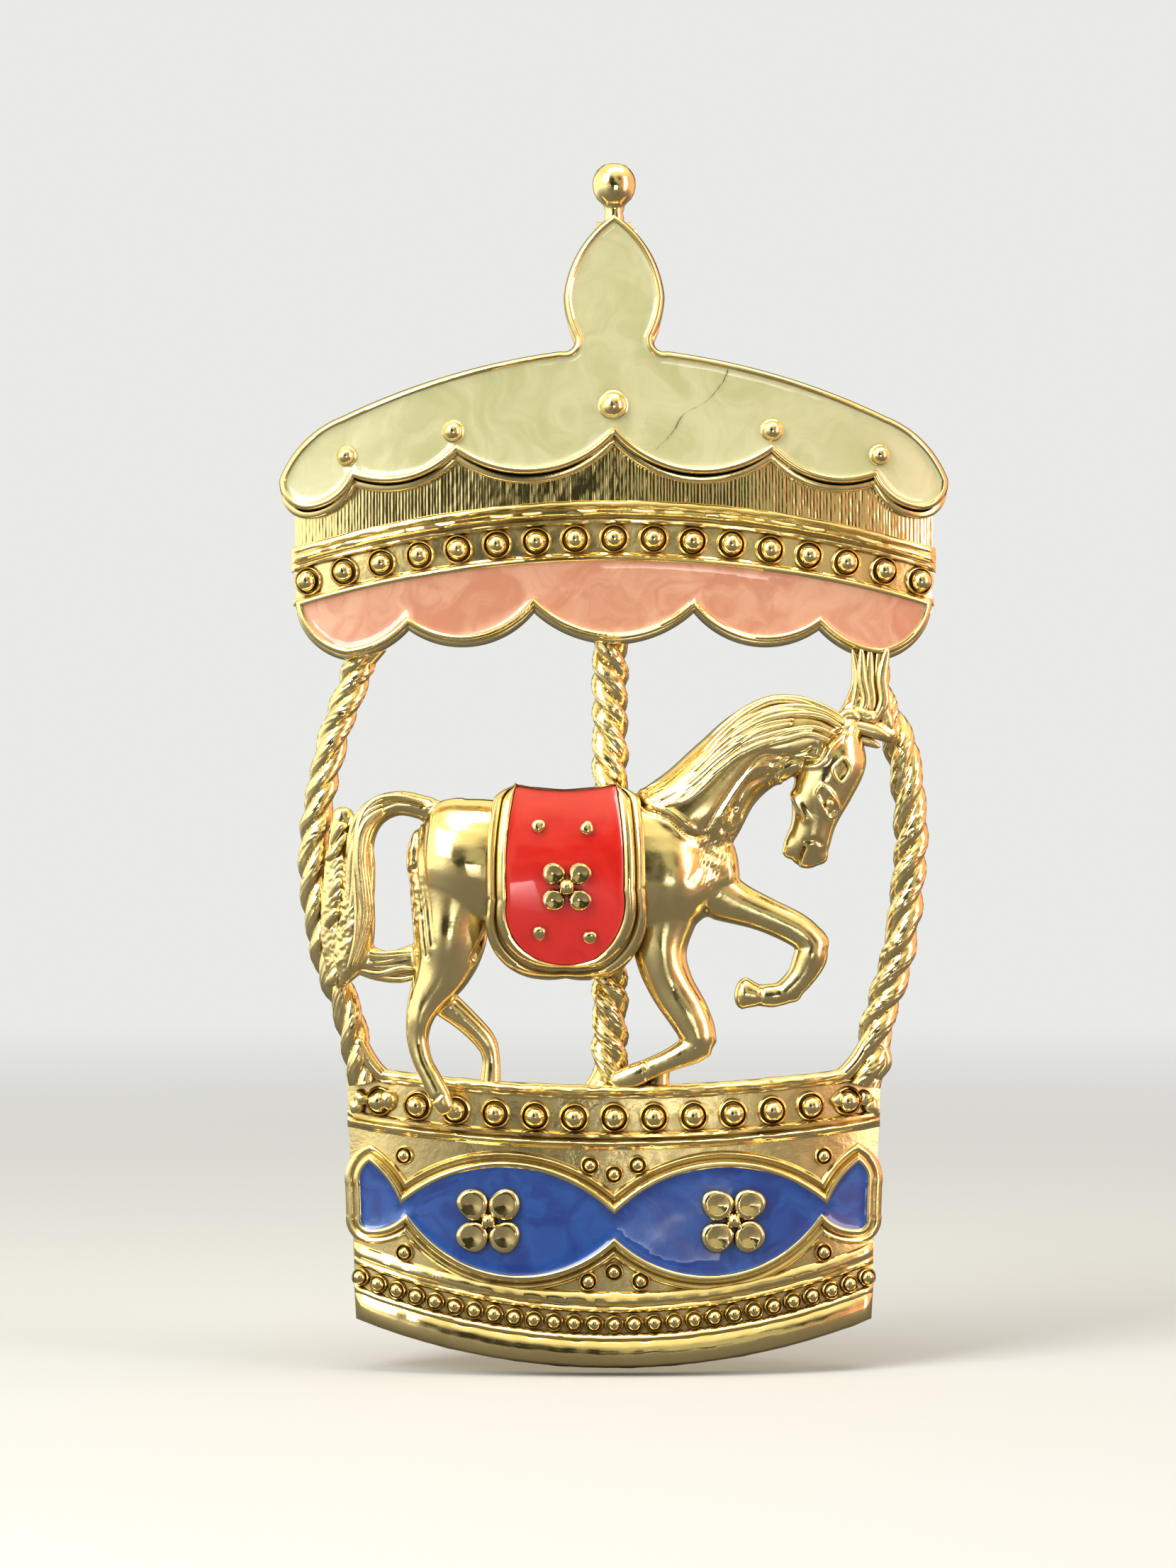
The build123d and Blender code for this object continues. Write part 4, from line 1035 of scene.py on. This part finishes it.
def patch(flat, x, height, reach_x, reach_h):
    """A soft oval: 1 in its middle, falling away to nothing."""
    return np.exp(-((flat[:, 0] - x) / reach_x) ** 2 - ((flat[:, 1] - height) / reach_h) ** 2)


def mixed_waves(made, points, spread, count):
    """Waves in all directions, laid over each other."""
    return sum(np.sin(points @ made.normal(0, spread, 3) + made.uniform(0, 6)) for _ in range(count)) / count


def sculpt(points, normals):
    """Muscles, folds and ridges pressed into the front of the skin."""
    flat = points[:, [0, 2]]
    front = np.clip(-normals[:, 1] * 1.6 + 0.45, 0, 1)
    push = np.zeros(len(points))
    for *oval, amount in SWELLS:
        push += amount * patch(flat, *oval)
    for path, width, amount in LINES:
        curve = smooth_path(path, 8 * len(path))
        low, high = curve.min(0) - 3 * width, curve.max(0) + 3 * width
        near = np.flatnonzero(((flat > low) & (flat < high)).all(1))
        if len(near):
            away = distance_to_line(flat[near], curve)
            push[near] += amount * np.exp(-(away / width) ** 2)
    made = np.random.default_rng(21)
    fine = mixed_waves(made, points, 11, 7)
    for *oval, amount in ROUGH:
        push += amount * fine * patch(flat, *oval)
    push += 0.03 * mixed_waves(made, points, 1.5, 8)
    moved = points + normals * (push * front)[:, None]
    moved[:, 1] = np.minimum(moved[:, 1], HORSE_BACK_Y + 0.4)
    return moved


def strand(shape, path, y, radius, count=40, bend=0.0):
    """One lock of hair along a path of (x, height). Its y is one value or a few along it."""
    points = smooth_path(path, count)
    at = np.linspace(0, 1, count)
    depth = y if np.isscalar(y) else np.interp(at, np.linspace(0, 1, len(y)), y)
    depth = depth + bend * np.sin(at * math.pi)
    tube(shape, with_depth(points, depth), tapered(count, radius, 0.3, 0.12, 0.3), 12,
         lambda turns, far: 1 + 0.05 * np.cos(5 * turns + 1.5 * far), 0.8)


def between(first, second, shares):
    """A path that lies, point by point, a share of the way from one path to another."""
    a, b = smooth_path(first, len(shares)), smooth_path(second, len(shares))
    return a + (b - a) * shares[:, None]


CREST = [(11.6, 32.3), (10.6, 32.9), (9.33, 33.35), (7.9, 33.4), (6.5, 32.8), (5.3, 31.85),
         (4.1, 30.55), (2.9, 29.6), (1.6, 29.0)]
MANE_FOOT = [(10.6, 31.2), (9.6, 31.5), (8.5, 31.2), (7.2, 30.7), (6.1, 30.1), (5.2, 29.4),
             (4.4, 28.7), (3.6, 28.1), (2.6, 27.9)]
TAIL_OUTER = [(-9.4, 28.5), (-10.9, 28.75), (-12.2, 28.35), (-12.95, 27.3), (-13.25, 25.5),
              (-13.3, 23.5), (-13.6, 21.5), (-14.0, 19.4)]
TAIL_INNER = [(-9.5, 27.75), (-10.8, 27.8), (-11.75, 27.3), (-12.15, 26.3), (-12.15, 25),
              (-12.05, 23.5), (-12.1, 22), (-12.5, 20.3)]


def add_mane(shape):
    """Long locks that follow the crest, and shorter ones that fall away from it."""
    made = np.random.default_rng(31)
    for row in range(22):
        share = np.clip(row / 21 + made.normal(0, 0.02), 0, 1)
        drift = made.uniform(-0.10, 0.16)
        phase = made.uniform(0, 6)
        sway = 0.045 * np.sin(phase + np.arange(9) * 1.1)
        shares = np.clip(share * 0.95 + drift * np.linspace(0, 1, 9) + sway, 0, 1)
        whole = between(CREST, MANE_FOOT, shares)
        first, last = int(made.integers(0, 4)), 9 - int(made.integers(0, 4))
        depth = (-3.62 - 1.72 * np.sin(math.pi * (0.10 + 0.44 * shares)))[first:last]
        wave = 0.05 * np.sin(phase + np.arange(last - first) * 1.9)
        strand(shape, whole[first:last], depth + wave, made.uniform(0.13, 0.25), bend=-0.06)


def add_tail(shape):
    """The tail, its web to the pole, its bridge to the leg, and the locks of the forelock."""
    made = np.random.default_rng(41)
    for row in range(15):
        share = row / 14
        phase = made.uniform(0, 6)
        shares = np.clip(share + 0.10 * np.sin(phase + np.arange(10) * 1.2), 0, 1)
        whole = between(TAIL_OUTER, TAIL_INNER, shares)
        first, last = int(made.integers(0, 5)), 10 - int(made.integers(0, 4))
        depth = TAIL_Y - 0.05 - 0.85 * np.sin(math.pi * (0.1 + 0.8 * shares[first:last]))
        strand(shape, whole[first:last], depth, made.uniform(0.15, 0.30), bend=-0.08)
    for row in range(11):
        height, x = 27.2 - row * 0.72 + made.uniform(-0.3, 0.3), made.uniform(-0.15, 0.2)
        lean, tall = made.uniform(-0.2, 0.5), made.uniform(0.4, 1.3)
        strand(shape, [(-14.3 + x, height - tall), (-13.9 + x, height - 0.3), (-13.5 + x, height + lean)],
               [-3.05, -3.35, -3.3], made.uniform(0.16, 0.36), count=18)
    for row in range(6):
        height = 21.0 - row * 0.26
        strand(shape, [(-12.9, height + made.normal(0, 0.08)), (-11.8, height - 0.25 + made.normal(0, 0.1)),
                       (-10.7, height - 0.2 + made.normal(0, 0.1)), (-9.6, height + made.normal(0, 0.12))],
               -3.64, made.uniform(0.12, 0.22), count=24)
    for row in range(5):
        x, sway = 12.15 + row * 0.32, made.uniform(-0.25, 0.25)
        strand(shape, [(x - 0.45 + made.normal(0, 0.08), 32.0), (x + sway, 33.2), (x - 0.6 * sway, 34.5),
                       (x + 0.03 + 0.12 * (row - 2), 36.0)], -3.30 - 0.16 * math.sin(1.7 * row),
               made.uniform(0.18, 0.34), count=28)
    for path, depth, size in (
            ([(11.1, 31.5), (11.9, 32.0), (12.9, 31.8), (13.8, 31.5)], -3.9, 0.34),
            ([(11.0, 31.9), (11.6, 32.6), (12.3, 32.4)], -4.0, 0.34),
            ([(11.6, 31.2), (12.3, 31.4), (13.3, 31.0)], -3.7, 0.26),
            ([(12.0, 32.9), (12.6, 32.5), (13.1, 32.7)], -3.7, 0.36),
            ([(13.2, 33.6), (13.5, 32.7), (13.9, 31.8)], -2.9, 0.42)):
        strand(shape, path, depth, size, count=24)


def add_ears(shape):
    """The rolled rims and the hollow of the near ear, and the tip of the jaw."""
    for points, y in (([(11.42, 30.5), (10.87, 29.85), (11.28, 29.2), (11.75, 29.9), (11.42, 30.5)], -5.15),
                      ([(11.56, 31.7), (11.45, 31.3), (11.56, 30.9)], -4.75)):
        tube(shape, with_depth(smooth_path(points, 30), y), 0.13, 10)
    middle = np.array([11.3, -4.95, 29.85])
    axes = np.stack([[1.0, 0, 0], [0, 0, 1], [0, -1, 0]])
    lathe(shape, (middle, axes), [(0.42, -0.3), (0.36, 0.02), (0.2, 0.05), (0.05, 0.0)], 16)
    lathe(shape, (np.array([10.72, -4.93, 28.2]), axes), ball_profile(0.22, -0.3, 6), 16)


def build_horse(sizes):
    core = Shape()
    for rows in HORSE_PARTS:
        limb(core, rows)
    points, normals, faces = remeshed(core, sizes.horse_voxel / MM, 8)
    shape = Shape()
    shape.add(sculpt(points, normals), faces)
    piece("horse_body", shape, "gold plate", ["horse"], sharp=180)
    hair = Shape()
    add_mane(hair)
    add_tail(hair)
    add_ears(hair)
    piece("horse_hair", hair, "gold plate rough", (), sharp=180)


def outward(points):
    """Unit normals that point out of a closed outline, eased over its corners."""
    along = np.roll(points, -2, 0) - np.roll(points, 2, 0)
    normal = np.stack([along[:, 1], -along[:, 0]], 1)
    following = np.roll(points, -1, 0)
    area = (points[:, 0] * following[:, 1] - following[:, 0] * points[:, 1]).sum()
    return normal * np.sign(area) / np.linalg.norm(normal, axis=1)[:, None]


def border_width(points, left, right, bottom, top):
    """Width of the saddle's border at each point of its outline."""
    out = outward(points)
    side = np.where(out[:, 0] < 0, left, right) * np.abs(out[:, 0])
    end = np.where(out[:, 1] < 0, bottom, top) * np.abs(out[:, 1])
    share = np.clip((29.0 - points[:, 1]) / 0.7, 0.04, 1)
    return (side + end) * share ** 0.5


def border(shape, surface, points, width, profile):
    """A wall outside a closed outline, from (share of the width, lift) steps."""
    out = outward(points)
    shape.rings([surface.place(points + out * (width * share)[:, None], lift) for share, lift in profile])


def build_saddle():
    sides = border_width(SADDLE_CELL, 0.52, 0.62, 0.22, 0.05)
    shape = Shape()
    body = [(0.0, -0.1), (0.0, 0.22), (0.12, 0.32), (0.35, 0.40), (0.62, 0.38), (0.85, 0.26),
            (0.97, 0.06), (1.0, -0.3)]
    border(shape, SADDLE, SADDLE_CELL, sides, body)
    piece("saddle_wall", shape, "gold plate", ["saddle_rim"])
    shape = Shape()
    outer = [(0.6, -0.2), (0.98, -0.14), (1.10, -0.04), (1.30, 0.06), (1.55, 0.08), (1.78, -0.02),
             (1.88, -0.2), (1.9, -1.1)]
    cloth = border_width(SADDLE_CELL, 0.52, 0.58, 0.40, 0.06)
    border(shape, SADDLE, SADDLE_CELL, cloth, outer)
    lining = SADDLE_CELL + outward(SADDLE_CELL) * (cloth * 1.9)[:, None]
    fill(shape, SADDLE, lining, -1.1, meniscus=0)
    piece("saddle_cloth", shape, "gold plate", ["saddle_pad"])
    shape = Shape()
    fill(shape, SADDLE, SADDLE_CELL, 0.24, meniscus=0.06, seed=29, sink=0.03)
    piece("saddle_fill", shape, "red enamel", ["saddle_enamel"], sharp=80)
    shape = Shape()
    flower(shape, SADDLE.stand(-2.35, 24.1, 0.26), 0.56, 0.92, 0.40)
    piece("saddle_blossom", shape, "gold plate smooth", ["saddle_flower"])
    shape = Shape()
    boss = [(0.36, -0.05), (0.34, 0.10), (0.32, 0.22), (0.24, 0.29), (0.1, 0.31)]
    for x, height in ((-3.75, 27.0), (-1.35, 26.9), (-3.7, 21.9), (-1.2, 21.7)):
        lathe(shape, SADDLE.stand(x, height, 0.24), boss, 22, 0.05)
    piece("saddle_bosses", shape, "gold plate smooth", ["saddle_studs"])


def finish_findings():
    """Materials and softened edges for the parts that come straight from the frame."""
    for name in ("hinge_block", "hinge_rivet", "pin_stem", "catch_housing", "catch_rotor"):
        cover(name, "gold findings")
        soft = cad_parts[name].modifiers.new("soft edges", "BEVEL")
        soft.width = 0.00005
        soft.segments = 2
        soft.limit_method = "ANGLE"
    for name in ("canopy_plate", "drum_plate"):
        cover(name, "gold plate rough")


def cover(name, finish):
    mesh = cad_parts[name].data
    mesh.materials.clear()
    mesh.materials.append(bpy.data.materials[finish])


# ---------------------------------------------------------------- stage

def build_floor(colours):
    """A pale, flat floor that fades into the pale surroundings."""
    reach, low = 0.45, FOOT_Z - 0.0004
    mesh = bpy.data.meshes.new("floor")
    mesh.from_pydata([(-reach, -reach, low), (reach, -reach, low), (reach, reach, low), (-reach, reach, low)],
                     [], [[0, 1, 2, 3]])
    floor = link("floor", mesh)
    material, net, shader = new_material("pale floor")
    pale = (*colours.floor, 1)
    dim = (*(v * 0.16 for v in colours.floor), 1)
    glossy = net.add("ShaderNodeLightPath").outputs["Is Glossy Ray"]
    net.put(shader["Base Color"], net.mix(glossy, pale, dim))
    net.put(shader["Roughness"], 0.7)
    place = net.add("ShaderNodeTexCoord").outputs["Object"]
    away = net.add("ShaderNodeVectorMath", {"operation": "LENGTH"}, Vector=place).outputs["Value"]
    net.put(shader["Alpha"], net.spread(away, 0.34, 0.04))
    mesh.materials.append(material)


def softbox(name, place, aim, size, power, color):
    light = bpy.data.lights.new(name, "AREA")
    light.shape = "RECTANGLE"
    light.size, light.size_y = size
    light.energy = power
    light.color = color
    lamp = link(name, light)
    lamp.location = place
    lamp.rotation_euler = (Vector(aim) - Vector(place)).to_track_quat("-Z", "Y").to_euler()


def build_world(colours):
    """Plain surroundings for the eye, and a dim room with bright panels for the reflections."""
    bpy.context.scene.view_settings.view_transform = "Standard"
    world = bpy.data.worlds.new("studio")
    bpy.context.scene.world = world
    world.use_nodes = True
    net = Net(world.node_tree)
    background = world.node_tree.nodes["Background"]
    way = net.add("ShaderNodeTexCoord").outputs["Generated"]
    x, _, z = net.add("ShaderNodeSeparateXYZ", Vector=way).outputs
    clutter = net.noise(way, 0.38)
    room = net.mix(net.spread(clutter, 0.49, 0.62), (0.03, 0.03, 0.02, 1), (0.40, 0.39, 0.27, 1))
    left = net.spread(x, -0.30, -0.75)
    right = net.spread(x, 0.38, 0.85)
    top = net.spread(z, 0.36, 0.8)
    tint = net.mix(left, room, (1.0, 1.0, 0.86, 1))
    tint = net.mix(right, tint, (0.95, 0.50, 0.34, 1))
    tint = net.mix(top, tint, (0.95, 0.86, 0.55, 1))
    rays = net.add("ShaderNodeLightPath").outputs
    unseen = net.mix(rays["Is Glossy Ray"], (0.75, 0.75, 0.75, 1), tint)
    net.put(background.inputs["Color"], net.mix(rays["Is Camera Ray"], unseen, (*colours.floor, 1)))
    strength = net.math("ADD", rays["Is Glossy Ray"], 0.4)
    net.put(background.inputs["Strength"], net.math("MAXIMUM", strength, rays["Is Camera Ray"]))


def build_lights():
    middle = (0, -0.003, -0.018)
    softbox("key", (-0.20, -0.20, 0.16), middle, (0.16, 0.22), 0.80, (1.0, 0.99, 0.95))
    softbox("fill right", (0.26, -0.14, 0.02), middle, (0.10, 0.30), 0.40, (1.0, 0.84, 0.74))
    softbox("top", (0.02, -0.06, 0.26), middle, (0.30, 0.12), 0.45, (1.0, 0.98, 0.92))
    softbox("front low", (0.05, -0.34, -0.10), middle, (0.10, 0.10), 0.20, (1.0, 0.98, 0.94))


def build_camera():
    data = bpy.data.cameras.new("camera")
    data.lens = 100
    data.sensor_fit = "AUTO"
    data.sensor_width = 36
    data.clip_start = 0.01
    data.clip_end = 5
    camera = link("camera", data)
    camera.location = (-0.0013, -0.2213, FOOT_Z + 0.02916)
    camera.rotation_euler = (math.pi / 2, 0, 0)
    bpy.context.scene.camera = camera


# ---------------------------------------------------------------- add-on

class BroochSizes(bpy.types.PropertyGroup):
    rim_width: FloatProperty(
        name="Rim width", description="Width of the raised rims round the enamel",
        default=0.00032, unit="LENGTH", subtype="DISTANCE")
    hatch_pitch: FloatProperty(
        name="Hatch pitch", description="Distance between the lines of the canopy's hatched strip",
        default=0.00017, unit="LENGTH", subtype="DISTANCE")
    rope_turn: FloatProperty(
        name="Rope turn", description="Length of one full turn of the centre pole's rope",
        default=0.0042, unit="LENGTH", subtype="DISTANCE")
    horse_voxel: FloatProperty(
        name="Horse fineness", description="Size of the smallest form kept on the horse",
        default=0.0001, unit="LENGTH", subtype="DISTANCE")


def colour(name, description, value):
    return FloatVectorProperty(name=name, description=description, default=value,
                               subtype="COLOR", size=3, min=0, max=1)


class BroochColours(bpy.types.PropertyGroup):
    gold: colour("Gold", "Bright gold plate", (0.92, 0.74, 0.36))
    gold_shadow: colour("Gold shadow", "Darkened gold in the recesses", (0.24, 0.145, 0.04))
    celadon_pale: colour("Pale celadon", "Pearly side of the crown's enamel", (0.70, 0.67, 0.39))
    celadon_deep: colour("Deep celadon", "Deeper side of the crown's enamel", (0.52, 0.51, 0.24))
    pink_pale: colour("Pale pink", "Pearly side of the valance's enamel", (0.80, 0.43, 0.27))
    pink_deep: colour("Deep pink", "Deeper side of the valance's enamel", (0.62, 0.25, 0.14))
    blue_pale: colour("Pale blue", "Pearly side of the drum's enamel", (0.02, 0.10, 0.42))
    blue_deep: colour("Deep blue", "Deeper side of the drum's enamel", (0.006, 0.036, 0.24))
    red_pale: colour("Pale red", "Lighter side of the saddle's enamel", (0.80, 0.02, 0.008))
    red_deep: colour("Deep red", "Deeper side of the saddle's enamel", (0.60, 0.008, 0.004))
    crack: colour("Crack", "Dirt in the enamel's crack", (0.10, 0.08, 0.03))
    floor: colour("Floor", "Studio floor", (0.82, 0.82, 0.80))


class BuildStep(bpy.types.Operator):
    """One step of the build"""

    def execute(self, context):
        self.make(context.scene.brooch_sizes, context.scene.brooch_colours)
        return {"FINISHED"}


class BROOCH_OT_materials(BuildStep):
    """Make the gold and enamel materials"""
    bl_idname = "brooch.materials"
    bl_label = "Materials"

    def make(self, sizes, colours):
        make_materials(colours)


class BROOCH_OT_crown(BuildStep):
    """Build the crown's walls, enamel, studs, crack and finial"""
    bl_idname = "brooch.crown"
    bl_label = "Crown"

    def make(self, sizes, colours):
        build_crown(sizes)


class BROOCH_OT_canopy(BuildStep):
    """Build the hatched strip, mouldings and enamelled valance"""
    bl_idname = "brooch.canopy"
    bl_label = "Canopy"

    def make(self, sizes, colours):
        build_canopy(sizes)


class BROOCH_OT_beads(BuildStep):
    """Build every row of beads and the cups they sit in"""
    bl_idname = "brooch.beads"
    bl_label = "Beads"

    def make(self, sizes, colours):
        build_beads()


class BROOCH_OT_drum(BuildStep):
    """Build the drum's mouldings and foot"""
    bl_idname = "brooch.drum"
    bl_label = "Drum"

    def make(self, sizes, colours):
        build_drum()


class BROOCH_OT_blue_cell(BuildStep):
    """Build the blue enamelled cell and its flowers"""
    bl_idname = "brooch.blue_cell"
    bl_label = "Blue cell"

    def make(self, sizes, colours):
        build_blue_cell(sizes)


class BROOCH_OT_poles(BuildStep):
    """Build the three rope poles"""
    bl_idname = "brooch.poles"
    bl_label = "Rope poles"

    def make(self, sizes, colours):
        build_poles(sizes)


class BROOCH_OT_horse(BuildStep):
    """Build the horse with its mane and tail"""
    bl_idname = "brooch.horse"
    bl_label = "Horse"

    def make(self, sizes, colours):
        build_horse(sizes)


class BROOCH_OT_saddle(BuildStep):
    """Build the enamelled saddle cloth"""
    bl_idname = "brooch.saddle"
    bl_label = "Saddle cloth"

    def make(self, sizes, colours):
        build_saddle()


class BROOCH_OT_findings(BuildStep):
    """Finish the pin, its hinge and catch, and the backing plates"""
    bl_idname = "brooch.findings"
    bl_label = "Findings"

    def make(self, sizes, colours):
        finish_findings()


class BROOCH_OT_stage(BuildStep):
    """Make the floor, lights, surroundings and camera"""
    bl_idname = "brooch.stage"
    bl_label = "Stage"

    def make(self, sizes, colours):
        build_floor(colours)
        build_world(colours)
        build_lights()
        build_camera()


STEPS = (
    BROOCH_OT_materials, BROOCH_OT_crown, BROOCH_OT_canopy, BROOCH_OT_beads, BROOCH_OT_drum,
    BROOCH_OT_blue_cell, BROOCH_OT_poles, BROOCH_OT_horse, BROOCH_OT_saddle, BROOCH_OT_findings,
    BROOCH_OT_stage,
)


class BROOCH_PT_panel(bpy.types.Panel):
    """Steps that build the brooch"""
    bl_idname = "BROOCH_PT_panel"
    bl_label = "Carousel brooch"
    bl_space_type = "VIEW_3D"
    bl_region_type = "UI"
    bl_category = "Brooch"

    def draw(self, context):
        for step in STEPS:
            self.layout.operator(step.bl_idname)
        for group in (context.scene.brooch_sizes, context.scene.brooch_colours):
            for name in group.__annotations__:
                self.layout.prop(group, name)


CLASSES = (BroochSizes, BroochColours, *STEPS, BROOCH_PT_panel)


def register():
    for each in CLASSES:
        bpy.utils.register_class(each)
    bpy.types.Scene.brooch_sizes = PointerProperty(type=BroochSizes)
    bpy.types.Scene.brooch_colours = PointerProperty(type=BroochColours)


def unregister():
    del bpy.types.Scene.brooch_colours
    del bpy.types.Scene.brooch_sizes
    for each in reversed(CLASSES):
        bpy.utils.unregister_class(each)


def main():
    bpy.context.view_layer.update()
    register()
    for step in STEPS:
        group, name = step.bl_idname.split(".")
        getattr(getattr(bpy.ops, group), name)()


if __name__ == "__main__":
    main()
